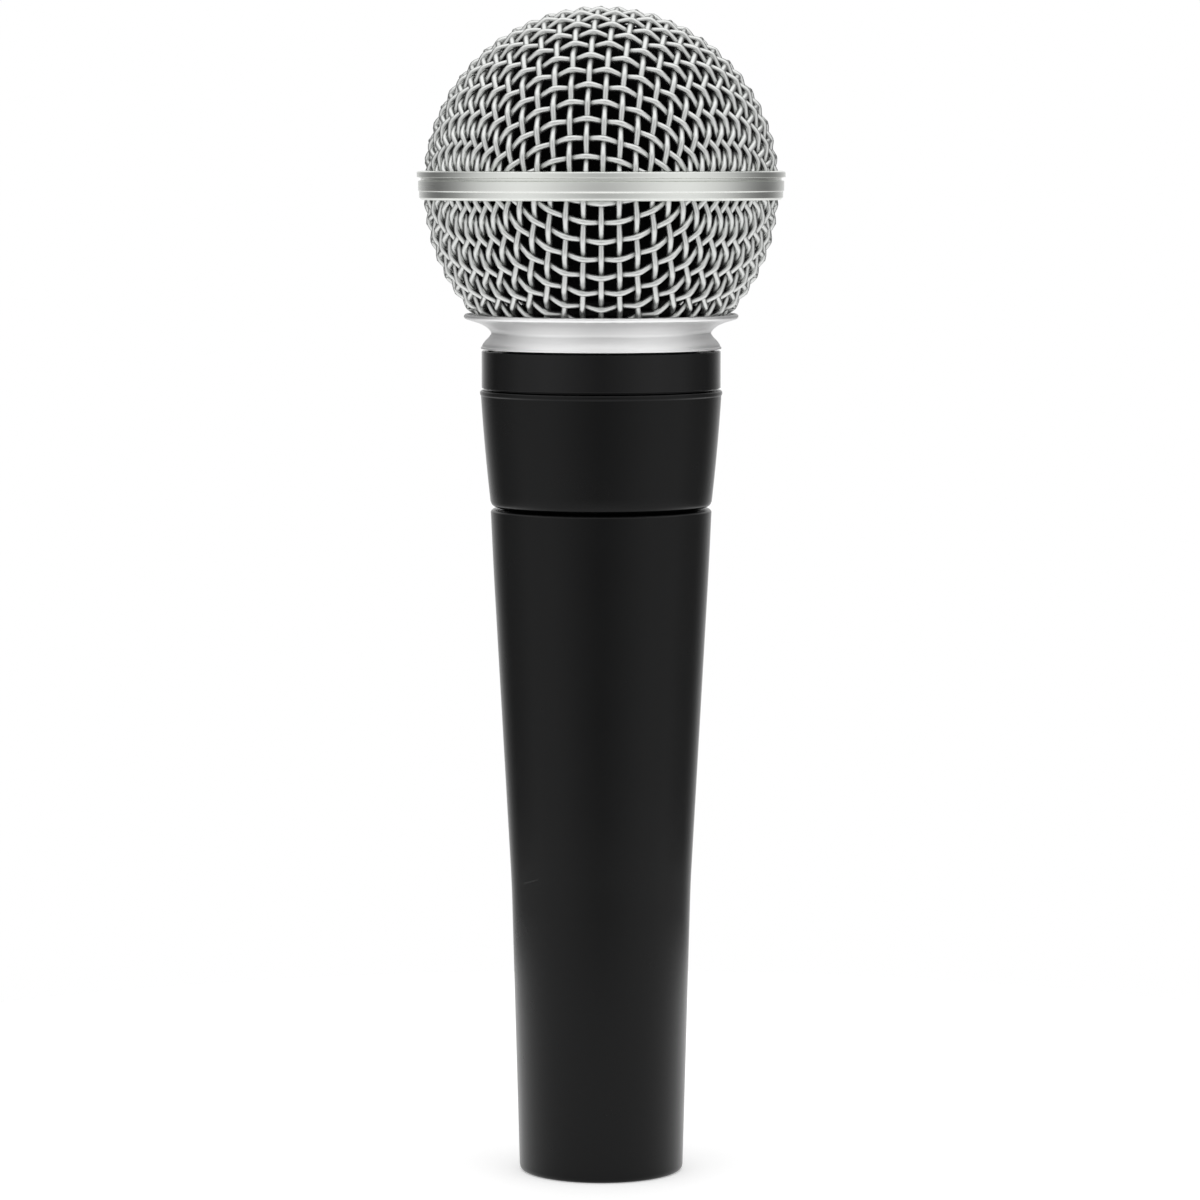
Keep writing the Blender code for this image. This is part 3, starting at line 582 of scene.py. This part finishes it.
def turned(points, sides, closed=True):
    """The mesh of profile points turned about Z."""
    angles = np.linspace(0, math.tau, sides, endpoint=False)
    vertices, rings = [], []
    for radius, height, ridge in points:
        if radius < 1e-6:
            rings.append([len(vertices)] * sides)
            vertices.append((0.0, 0.0, height))
            continue
        turn = (height / THREAD_PITCH - angles / math.tau) % 1.0
        radii = radius + ridge * (np.abs(4 * turn - 2) - 1)
        rings.append(list(range(len(vertices), len(vertices) + sides)))
        heights = np.full(sides, height)
        ring = np.column_stack((radii * np.cos(angles), radii * np.sin(angles), heights))
        vertices.extend(ring.tolist())
    faces = []
    for upper, lower in zip(rings, rings[1:] + (rings[:1] if closed else [])):
        for i in range(sides):
            j = (i + 1) % sides
            corners = [upper[i], lower[i], lower[j], upper[j]]
            face = [c for n, c in enumerate(corners) if c != corners[n - 1]]
            if len(face) > 2:
                faces.append(face)
    return new_mesh("turned", vertices, faces)


def spun(corners, sides=INNER_SIDES):
    """The mesh of a profile that starts and ends on the axis, or closes on itself."""
    closed = corners[0][0] > 0
    return turned(rounded(corners, closed), sides, closed)


def arc(centre, radius, start, end, count):
    """Points on a circle about a place on the axis, by the angle from the level in degrees."""
    angles = np.radians(np.linspace(start, end, count))
    return [(radius * math.cos(a), centre + radius * math.sin(a), 0.0) for a in angles]


def box(size, centre):
    """The mesh of a box with its sides along the axes."""
    shape = bmesh.new()
    bmesh.ops.create_cube(shape, size=1.0)
    bmesh.ops.scale(shape, vec=size, verts=shape.verts)
    bmesh.ops.translate(shape, vec=centre, verts=shape.verts)
    return from_bmesh(shape)


def rod(radius, low, high, x=0.0, y=0.0, sides=ROD_SIDES):
    """The mesh of an upright rod between two heights."""
    shape = bmesh.new()
    bmesh.ops.create_cone(
        shape, cap_ends=True, segments=sides, radius1=radius, radius2=radius, depth=high - low
    )
    bmesh.ops.translate(shape, vec=(x, y, (low + high) / 2), verts=shape.verts)
    return from_bmesh(shape)


def from_bmesh(shape):
    mesh = bpy.data.meshes.new("shape")
    shape.to_mesh(mesh)
    shape.free()
    return mesh


def laid_along_y(mesh, height):
    """An upright shape on the axis, laid down so that its top points along +Y."""
    mesh.transform(Matrix.Translation((0, 0, height)) @ Matrix.Rotation(-math.pi / 2, 4, "X"))
    return mesh


def carved(mesh, cutters):
    """The mesh with every cutter taken out of it."""
    objects = [bpy.data.objects.new("carved", m) for m in (mesh, *cutters)]
    for obj in objects:
        bpy.context.scene.collection.objects.link(obj)
    for cutter in objects[1:]:
        modifier = objects[0].modifiers.new("Cut", "BOOLEAN")
        modifier.operation, modifier.solver, modifier.object = "DIFFERENCE", "EXACT", cutter
    graph = bpy.context.evaluated_depsgraph_get()
    result = bpy.data.meshes.new_from_object(objects[0].evaluated_get(graph))
    for obj in objects:
        bpy.data.objects.remove(obj, do_unlink=True)
    return result


def roughened(mesh, size, height):
    """Moves each point along its normal by smooth noise with lumps of about that size."""
    normals = [vertex.normal.copy() for vertex in mesh.vertices]
    for vertex, normal in zip(mesh.vertices, normals):
        coarse = noise.noise(vertex.co / size)
        fine = noise.noise(vertex.co / (size * 0.4) + Vector((7.0, 3.0, 5.0)))
        vertex.co += normal * height * (0.65 * coarse + 0.35 * fine)
    return mesh


def swept(paths, radius, sides):
    """Round tubes along paths of (point, outward direction) pairs, with flat ends."""
    around = np.linspace(0, math.tau, sides, endpoint=False)
    cosines, sines = np.cos(around)[None, :, None], np.sin(around)[None, :, None]
    vertices, faces = [], []
    for points, outward in paths:
        along = np.gradient(points, axis=0)
        along /= np.linalg.norm(along, axis=1)[:, None]
        across = np.cross(along, outward)
        across /= np.linalg.norm(across, axis=1)[:, None]
        up = np.cross(across, along)
        tube = points[:, None] + radius * (cosines * up[:, None] + sines * across[:, None])
        first, count = len(vertices), len(points)
        vertices.extend(tube.reshape(-1, 3).tolist())
        for k in range(count - 1):
            row = first + k * sides
            for a in range(sides):
                b = (a + 1) % sides
                faces.append((row + a, row + b, row + sides + b, row + sides + a))
        last = first + (count - 1) * sides
        faces.append(tuple(range(first + sides - 1, first - 1, -1)))
        faces.append(tuple(range(last, last + sides)))
    return new_mesh("swept", vertices, faces)


def joined(meshes):
    shape = bmesh.new()
    for mesh in meshes:
        shape.from_mesh(mesh)
    return from_bmesh(shape)


def moved(mesh, x=0.0, y=0.0, z=0.0):
    mesh.transform(Matrix.Translation((x, y, z)))
    return mesh


def add_piece(name, mesh, finish_name, body, nodes):
    """A piece of the microphone: the mesh in millimetres, with its finish, riding on a body.

    A piece between two bodies names none here.
    """
    mesh.transform(Matrix.Scale(MM, 4))
    mesh.materials.clear()
    mesh.materials.append(finishes[finish_name])
    mesh.shade_smooth()
    mesh.set_sharp_from_angle(angle=SMOOTH_BELOW)
    piece = bpy.data.objects.new(name, mesh)
    bpy.context.scene.collection.objects.link(piece)
    if body:
        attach(piece, body)
    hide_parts(*nodes)
    return piece


# Handle and connector ----------------------------------------------------------------------


def handle():
    points = rounded(HANDLE, closed=False) + thread(*HANDLE_THREAD)
    radius, inner, outer = SET_SCREW_HOLE
    hole = laid_along_y(rod(radius, inner, outer), SET_SCREW_HEIGHT)
    mesh = carved(turned(points, FINE_SIDES), [box(*KEYWAY), hole])
    add_piece("handle_tube", mesh, "body_paint", "handle", ["handle_shell"])


def connector():
    radius, inner, outer = SET_SCREW
    profile = [
        (0, outer), (radius, outer, SET_SCREW_EDGE), (radius, inner, SET_SCREW_EDGE), (0, inner)
    ]
    screw = laid_along_y(spun(profile, ROD_SIDES), SET_SCREW_HEIGHT)
    screw = carved(screw, [box(*SET_SCREW_SLOT)])
    add_piece("connector_screw", screw, "screw_steel", "handle", ["xlr_set_screw"])

    radius, low, high = PIN_SOCKET
    holes = [rod(radius, low, high, x, y) for x, y in PIN_PLACES]
    mesh = carved(spun(INSULATOR), holes)
    add_piece("connector_insulator", mesh, "black_plastic", "handle", ["xlr_insulator"])
    for number, (x, y) in enumerate(PIN_PLACES, 1):
        pin = moved(spun(PIN, PIN_SIDES), x, y)
        add_piece(
            f"connector_pin_{number}", pin, "contact_silver", "handle", [f"xlr_pin_{number}"]
        )


def transformer_cushion():
    radius, low, high = CUSHION
    down, across = CUSHION_POINTS
    end_r = radius - CUSHION_EDGE
    side = [(radius, z, 0.0) for z in np.linspace(high - CUSHION_EDGE, low + CUSHION_EDGE, down)]
    top = [(r, high, 0.0) for r in np.linspace(0, end_r, across)]
    bottom = [(r, low, 0.0) for r in np.linspace(end_r, 0, across)]
    block = roughened(turned(top + side + bottom, INNER_SIDES, closed=False), *CUSHION_LUMPS)
    mesh = carved(block, [box(*CUSHION_SLOT)])
    cushion = add_piece(
        "transformer_foam", mesh, "foam", "handle", ["transformer_cushion"]
    )


def smooth_step(t):
    """0 to 1 as t goes from 0 to 1, level at both ends."""
    t = np.clip(t, 0.0, 1.0)
    return t * t * (3 - 2 * t)


def lead_path(x, y, z):
    """A lead's points, with a direction away from the microphone's axis at each."""
    points = np.column_stack((x, y, z))
    return points, np.column_stack((x, y, np.zeros(len(z))))


def output_leads():
    z = np.linspace(*OUTPUT_LEAD_Z, OUTPUT_LEAD_POINTS)
    low, high = OUTPUT_LEAD_BEND
    shift = smooth_step((z - low) / (high - low))
    for number, (start, end, colour) in enumerate(
        zip(PIN_PLACES, OUTPUT_LEAD_ENDS, ("green", "yellow", "blue")), 1
    ):
        x = start[0] + (end[0] - start[0]) * shift
        y = start[1] + (end[1] - start[1]) * shift
        mesh = swept([lead_path(x, y, z)], LEAD_R, LEAD_SIDES)
        add_piece(
            f"transformer_lead_{number}", mesh, f"{colour}_wire", "handle",
            [f"output_lead_{number}"],
        )


def cartridge_leads():
    """Two leads in a loose spiral, from the transformer up to the cartridge's terminals."""
    t = np.linspace(0, 1, CAPSULE_LEAD_POINTS)
    z = CAPSULE_LEAD_Z[0] + (CAPSULE_LEAD_Z[1] - CAPSULE_LEAD_Z[0]) * t
    start = math.atan2(CAPSULE_LEAD_FROM[1], CAPSULE_LEAD_FROM[0])
    end = math.atan2(CAPSULE_LEAD_TO[1], CAPSULE_LEAD_TO[0]) + math.tau
    radius = math.hypot(*CAPSULE_LEAD_FROM) * (1 - t) + math.hypot(*CAPSULE_LEAD_TO) * t
    for colour, phase in (("red", 0.0), ("black", math.pi)):
        angle = phase + start + (end - start) * smooth_step(t)
        path = lead_path(radius * np.cos(angle), radius * np.sin(angle), z)
        lead = add_piece(
            f"cartridge_lead_{colour}", swept([path], LEAD_R, LEAD_SIDES), f"{colour}_wire",
            None, [f"capsule_lead_{colour}"],
        )
        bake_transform(lead)


# Cartridge housing -------------------------------------------------------------------------


def housing():
    (top_r, top), (foot_r, foot), bulge, count = HOUSING_SIDE
    side = []
    for step in range(count):
        t = 1 - step / (count - 1)
        out = t + bulge * t * (1 - t)
        side.append((foot_r + (top_r - foot_r) * out, foot + (top - foot) * t, 0))
    outside = rounded(HOUSING_TOP + side + HOUSING_FOOT, closed=False)
    points = (
        thread(*HOUSING_UPPER_THREAD) + outside + thread(*HOUSING_LOWER_THREAD)
        + rounded(HOUSING_INSIDE, closed=False)
    )
    mesh = turned(points, FINE_SIDES)
    add_piece("housing_shell", mesh, "body_paint", "housing", ["cartridge_housing"])
    plate = spun(NAMEPLATE, FINE_SIDES)
    add_piece("blank_nameplate", plate, "nameplate", "housing", ["nameplate_ring"])


# Ball grille -------------------------------------------------------------------------------


def draped_net(steps, counts):
    """Unit vectors of a net whose cells keep their sides' lengths, draped on a ball.

    Two lines of the net cross at the pole, (0, 0, 1), and run along X and Y. Only the quadrant
    from X to Y is worked out, because the others mirror it. A place that the net can't reach
    without overlapping itself is not a number. The wire cloth stretches a little as it is
    formed, so the net is laid over NET_EASE of each angle from the pole, and spread out.
    """
    step_x, step_y = NET_EASE * steps[0], NET_EASE * steps[1]
    rows, columns = counts
    net = np.full((rows, columns, 3), np.nan)
    for i in range(rows):
        net[i, 0] = (math.sin(i * step_x), 0, math.cos(i * step_x))
    for j in range(columns):
        net[0, j] = (0, math.sin(j * step_y), math.cos(j * step_y))
    for i in range(1, rows):
        for j in range(1, columns):
            a, b, corner = net[i - 1, j], net[i, j - 1], net[i - 1, j - 1]
            c = a @ b
            span = 1 - c * c
            if not span > 0:
                continue
            p = (math.cos(step_x) - c * math.cos(step_y)) / span
            q = (math.cos(step_y) - c * math.cos(step_x)) / span
            rest = (1 - (p * p + q * q + 2 * p * q * c)) / span
            if rest <= 0:
                continue
            flat, rise = p * a + q * b, math.sqrt(rest) * np.cross(a, b)
            if (flat + rise) @ corner > (flat - rise) @ corner:
                rise = -rise
            net[i, j] = flat + rise
    off_axis = np.hypot(net[..., 0], net[..., 1])
    polar = np.arctan2(off_axis, net[..., 2]) / NET_EASE
    spread_out = np.sin(polar) / np.maximum(off_axis, 1e-9)
    return np.dstack((net[..., 0] * spread_out, net[..., 1] * spread_out, np.cos(polar)))


def smoothed(points):
    """A curve through a line of points, with STEP_PARTS points to each step."""
    ends = np.vstack((2 * points[0] - points[1], points, 2 * points[-1] - points[-2]))
    a, b, c, d = ends[:-3], ends[1:-2], ends[2:-1], ends[3:]
    t = (np.arange(STEP_PARTS) / STEP_PARTS)[:, None, None]
    curve = b + t / 2 * (c - a + t * (2 * a - 5 * b + 4 * c - d + t * (3 * (b - c) + d - a)))
    return np.vstack((curve.transpose(1, 0, 2).reshape(-1, 3), points[-1:]))


def within(points, low, high):
    """The stretches of a line of points that lie between two heights, cut at them."""
    stretches, current = [], []
    for here, after in zip(points, [*points[1:], None]):
        inside = low <= here[2] <= high
        if inside:
            current.append(here)
        if after is not None:
            after_inside = low <= after[2] <= high
            if inside != after_inside:
                limit = low if min(here[2], after[2]) < low else high
                t = (limit - here[2]) / (after[2] - here[2])
                current.append(here + (after - here) * t)
        if current and (after is None or (inside and not after_inside)):
            stretches.append(np.array(current))
            current = []
    return [s for s in stretches if len(s) > 2]


def crimp(cells):
    """The height of a wire's wave, from -1 to 1, at numbers of cells from the pole."""
    wave = np.arcsin(CRIMP_SHARPNESS * np.cos(math.pi * cells))
    return wave / math.asin(CRIMP_SHARPNESS)


def woven_half(radius, centre, pitches, turn, pole, first_over, heights):
    """Plain-woven wire over one half of the ball.

    At the pole, the line that runs along Y goes over the other if first_over is 1, or under it
    if first_over is -1.
    """
    steps = [pitch / radius / NET_STEPS for pitch in pitches]
    net = draped_net(steps, [int(NET_REACH / step) for step in steps])
    spin = np.array(Matrix.Rotation(math.radians(turn), 3, "Z"))
    middle = np.array((0.0, 0.0, centre))
    paths = []
    for family, lines in ((0, net), (1, net.transpose(1, 0, 2))):
        for line in range(-len(lines) + 1, len(lines)):
            quarter = lines[abs(line)]
            quarter = quarter[~np.isnan(quarter[:, 0])]
            if line % NET_STEPS or len(quarter) < 2:
                continue
            half = quarter * (1, 1, pole)
            half[:, family] *= -1 if line < 0 else 1
            mirrored = half[:0:-1].copy()
            mirrored[:, 1 - family] *= -1
            units = smoothed(np.vstack((mirrored, half)))
            units = units / np.linalg.norm(units, axis=1)[:, None] @ spin.T
            cells = (np.arange(len(units)) / STEP_PARTS - len(mirrored)) / NET_STEPS
            wave = first_over * (-1) ** (line // NET_STEPS) * crimp(cells)
            distances = radius + CRIMP * (wave if family == 0 else -wave)
            for stretch in within(list(middle + units * distances[:, None]), *heights):
                paths.append((stretch, stretch - middle))
    return swept(paths, WIRE_R, WIRE_SIDES)


def grille():
    add_piece("wire_ball_upper", woven_half(**UPPER_NET), "grille_steel", "grille",
              ["mesh_dome_upper"])
    add_piece("wire_ball_lower", woven_half(**LOWER_NET), "grille_steel", "grille",
              ["mesh_bowl_lower"])
    add_piece("ball_band", spun(BAND, FINE_SIDES), "trim_steel", "grille", ["band_ring"])
    points = (
        rounded(COLLAR, closed=False) + thread(*COLLAR_THREAD)
        + rounded(COLLAR_CUP, closed=False)
    )
    mesh = turned(points, FINE_SIDES)
    add_piece("screw_collar", mesh, "collar_satin", "grille", ["grille_collar"])


def windscreen():
    outer, inner, centre, foot = WINDSCREEN
    low_out = math.degrees(math.asin((foot - centre) / outer))
    low_in = math.degrees(math.asin((foot - centre) / inner))
    outside = arc(centre, outer, 90, low_out, WINDSCREEN_POINTS[0])
    inside = arc(centre, inner, low_in, 90, WINDSCREEN_POINTS[1])
    outside[0], inside[-1] = (0.0, centre + outer, 0.0), (0.0, centre + inner, 0.0)
    mesh = turned(outside + inside, FINE_SIDES, closed=False)
    mesh = roughened(mesh, *WINDSCREEN_LUMPS)
    screen = add_piece("foam_ball", mesh, "foam", "foam", ["foam_windscreen"])


# Cartridge ---------------------------------------------------------------------------------


def cartridge_rings():
    for name, finish_name, body, cad_node, profile in CARTRIDGE_RINGS:
        add_piece(name, spun(profile), finish_name, body, [cad_node])


def cartridge_shell():
    count, size, height = REAR_PORTS
    cuts = []
    for number in range(count // 2):
        cut = box(size, (0, 0, height))
        cut.transform(Matrix.Rotation(math.tau * number / count, 4, "Z"))
        cuts.append(cut)
    shell = carved(spun(CARTRIDGE_SHELL), cuts)
    add_piece("cartridge_shell", shell, "black_plastic", "capsule", ["capsule_body"])


def cartridge_front():
    holes = []
    for distance, count in FRONT_HOLE_RINGS:
        for number in range(count):
            angle = math.radians(FRONT_HOLE_TURN) + math.tau * number / count
            x, y = distance * math.cos(angle), distance * math.sin(angle)
            holes.append(rod(*FRONT_HOLE, x, y, HOLE_SIDES))
    cap = carved(spun(FRONT_CAP), [joined(holes)])
    add_piece("front_cap", cap, "black_plastic", "capsule", ["resonator_cap"])
    add_piece("front_cloth", spun(FRONT_SCREEN), "fine_screen", "capsule", ["front_screen"])


def diaphragm_height(radius):
    """The height of the diaphragm's lower side over its rim."""
    outer, inner, rise = DIAPHRAGM_SURROUND
    dome_r, dome_rise = DIAPHRAGM_DOME
    if radius < dome_r:
        return dome_rise * math.sin(math.pi / 2 * (1 - radius / dome_r))
    if inner < radius < outer:
        return rise * math.sin(math.pi * (outer - radius) / (outer - inner))
    return 0.0


def diaphragm():
    rim, base, thickness = DIAPHRAGM_RIM
    radii = np.linspace(0, rim, DIAPHRAGM_POINTS)
    top = [(r, base + thickness + diaphragm_height(r), 0.0) for r in radii]
    under = [(r, base + diaphragm_height(r), 0.0) for r in radii[::-1]]
    mesh = turned(top + under, FINE_SIDES, closed=False)
    outer, inner, _ = DIAPHRAGM_SURROUND
    count, fold, slant = DIAPHRAGM_FOLDS
    for vertex in mesh.vertices:
        x, y, _ = vertex.co
        radius = math.hypot(x, y)
        if inner < radius < outer:
            swell = math.sin(math.pi * (outer - radius) / (outer - inner))
            phase = count * math.atan2(y, x) + slant * radius
            vertex.co.z += fold * swell * math.sin(phase)
    add_piece("diaphragm_film", mesh, "film", "diaphragm", ["diaphragm"])


def moving_coil():
    inner, outer, low, high = COIL
    steps = int((high - low) / COIL_PITCH) * COIL_TURN_POINTS
    side = []
    for step in range(steps + 1):
        groove = COIL_PITCH / 2 * (1 - abs(math.sin(math.pi * step / COIL_TURN_POINTS)))
        side.append((outer - groove, high + (low - high) * step / steps, 0.0))
    mesh = turned(side + [(inner, low, 0.0), (inner, high, 0.0)], INNER_SIDES)
    add_piece("moving_coil", mesh, "copper_wire", "diaphragm", ["voice_coil"])


def terminals():
    eyelets = [moved(spun(EYELET, SMALL_SIDES), y=y) for y in (-EYELET_Y, EYELET_Y)]
    board = joined([spun(BOARD), *eyelets])
    add_piece("solder_board", board, "board", "capsule", ["terminal_board"])
    radius, height = TAB_HOLE
    for label, side in (("positive", 1), ("negative", -1)):
        hole = moved(laid_along_y(rod(radius, -1, 1, sides=SMALL_SIDES), height), side * TAB_X)
        tab = carved(box(TAB_SIZE, (side * TAB_X, 0, TAB_Z)), [hole])
        piece = add_piece(
            f"solder_tab_{label}", tab, "tinned_brass", "capsule", [f"terminal_{label}"]
        )
        bevelled(piece, TAB_BEVEL)


def bevelled(obj, width):
    """Rounds an object's sharp edges by a width in millimetres."""
    modifier = obj.modifiers.new("Edges", "BEVEL")
    modifier.width, modifier.segments = width * MM, 2
    modifier.limit_method, modifier.angle_limit = "ANGLE", SMOOTH_BELOW
    modifier.harden_normals = True


# Transformer -------------------------------------------------------------------------------


def rounded_rectangle(width, depth, corner):
    """Points round the axis, with an outward direction at each."""
    points = []
    for quarter in range(4):
        side_x = 1 if quarter in (0, 3) else -1
        side_y = 1 if quarter < 2 else -1
        for step in range(CORNER_STEPS + 1):
            angle = math.pi / 2 * (quarter + step / CORNER_STEPS)
            out = (math.cos(angle), math.sin(angle))
            points.append((
                side_x * (width / 2 - corner) + corner * out[0],
                side_y * (depth / 2 - corner) + corner * out[1], *out,
            ))
    return points


def transformer_core():
    plates = []
    for number in range(CORE_PLATES):
        y = (number - (CORE_PLATES - 1) / 2) * CORE_PITCH
        windows = [
            box(CORE_WINDOW, (side * CORE_WINDOW_X, 0, CORE_Z)) for side in (-1, 1)
        ]
        plates.append(moved(carved(box(CORE_SIZE, (0, 0, CORE_Z)), windows), 0, y))
    add_piece("core_plates", joined(plates), "lamination", "handle", ["transformer_core"])


def transformer_winding():
    """A block of wire whose outermost layer is one real wire, wound round it."""
    width, depth = (size - 2 * WINDING_WIRE_R for size in WINDING_OUTER)
    loop = rounded_rectangle(width, depth, WINDING_CORNER)
    turns = int(WINDING_HEIGHT / (2 * WINDING_WIRE_R)) - 1
    low = CORE_Z - WINDING_HEIGHT / 2 + WINDING_WIRE_R
    points, outward = [], []
    for step in range(turns * len(loop) + 1):
        x, y, out_x, out_y = loop[step % len(loop)]
        points.append((x, y, low + step / len(loop) * (WINDING_HEIGHT / (turns + 1))))
        outward.append((out_x, out_y, 0.0))
    path = (np.array(points), np.array(outward))
    wire = swept([path], WINDING_WIRE_R, WINDING_WIRE_SIDES)
    block = box((width, depth, WINDING_HEIGHT), (0, 0, CORE_Z))
    block = carved(block, [box((*WINDING_INNER, WINDING_HEIGHT + 1), (0, 0, CORE_Z))])
    add_piece(
        "coil_wire", joined([block, wire]), "copper_wire", "handle", ["transformer_winding"]
    )


# CAD node that keeps its shape ---------------------------------------------------------------


def coil_former():
    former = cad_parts["transformer_coil_former"]
    former.data.materials.clear()
    former.data.materials.append(finishes["former_plastic"])
    bevelled(former, FORMER_BEVEL)


# Camera, light and floor ---------------------------------------------------------------------


def camera():
    data = bpy.data.cameras.new("camera")
    data.lens, data.sensor_width = CAMERA_LENS, CAMERA_SENSOR
    data.clip_start, data.clip_end = 0.01, 20.0
    obj = bpy.data.objects.new("camera", data)
    obj.location = CAMERA
    direction = Vector(CAMERA_TARGET) - Vector(CAMERA)
    obj.rotation_euler = direction.to_track_quat("-Z", "Y").to_euler()
    bpy.context.scene.collection.objects.link(obj)
    bpy.context.scene.camera = obj


def studio_grey(value):
    return (*[value / STUDIO_STRENGTH] * 3, 1)


def studio_colour(tree):
    """The studio's grey in every direction."""
    direction = node(tree, "ShaderNodeTexCoord").outputs["Generated"]
    axes = node(tree, "ShaderNodeSeparateXYZ", {"Vector": direction}).outputs
    angle = maths(tree, "ARCTAN2", axes["X"], maths(tree, "MULTIPLY", axes["Y"], -1.0))
    share = node(
        tree, "ShaderNodeMapRange", {"Value": angle, "From Min": -math.pi, "From Max": math.pi}
    )
    ramp = node(tree, "ShaderNodeValToRGB", {"Fac": share.outputs[0]})
    elements = ramp.color_ramp.elements
    while len(elements) < len(STUDIO):
        elements.new(0.5)
    for element, (degrees, value) in zip(elements, STUDIO):
        element.position = (degrees + 180) / 360
        element.color = studio_grey(value)
    colour = ramp.outputs["Color"]
    for value, start, full in (STUDIO_OVERHEAD, STUDIO_UNDER):
        share = node(
            tree, "ShaderNodeMapRange", {"Value": axes["Z"], "From Min": start, "From Max": full},
            interpolation_type="SMOOTHSTEP",
        )
        sky = node(tree, "ShaderNodeMix", {"Factor": share.outputs[0]}, data_type="RGBA")
        tree.links.new(colour, sky.inputs[6])
        sky.inputs[7].default_value = studio_grey(value)
        colour = sky.outputs[2]
    return colour


def studio():
    """Soft light from all round, with a brighter panel at each side of the front.

    The camera sees plain white behind the microphone instead.
    """
    world = bpy.data.worlds.new("studio")
    bpy.context.scene.world = world
    world.use_nodes = True
    tree = world.node_tree
    tree.nodes.clear()
    light = node(
        tree, "ShaderNodeBackground",
        {"Color": studio_colour(tree), "Strength": STUDIO_STRENGTH},
    )
    backdrop = node(tree, "ShaderNodeBackground", {"Color": (1, 1, 1, 1), "Strength": 1.0})
    seen = node(tree, "ShaderNodeLightPath").outputs["Is Camera Ray"]
    both = node(tree, "ShaderNodeMixShader", {0: seen})
    tree.links.new(light.outputs[0], both.inputs[1])
    tree.links.new(backdrop.outputs[0], both.inputs[2])
    output = node(tree, "ShaderNodeOutputWorld")
    tree.links.new(both.outputs[0], output.inputs["Surface"])
    bpy.context.scene.view_settings.view_transform = "Standard"


def floor():
    shape = bmesh.new()
    bmesh.ops.create_circle(shape, cap_ends=True, segments=INNER_SIDES, radius=FLOOR_R)
    mesh = from_bmesh(shape)
    material = new_material(
        "floor", Base_Color=(0.8, 0.8, 0.8, 1), Roughness=0.9, Specular_IOR_Level=0.0,
        Emission_Color=(1, 1, 1, 1), Emission_Strength=0.35,
    )[0]
    mesh.materials.append(material)
    obj = bpy.data.objects.new("floor", mesh)
    obj.location.z = -FLOOR_DROP
    bpy.context.scene.collection.objects.link(obj)


finishes = make_materials()
handle()
connector()
transformer_cushion()
output_leads()
cartridge_leads()
housing()
grille()
windscreen()
cartridge_rings()
cartridge_shell()
cartridge_front()
diaphragm()
moving_coil()
terminals()
transformer_core()
transformer_winding()
coil_former()
camera()
studio()
floor()
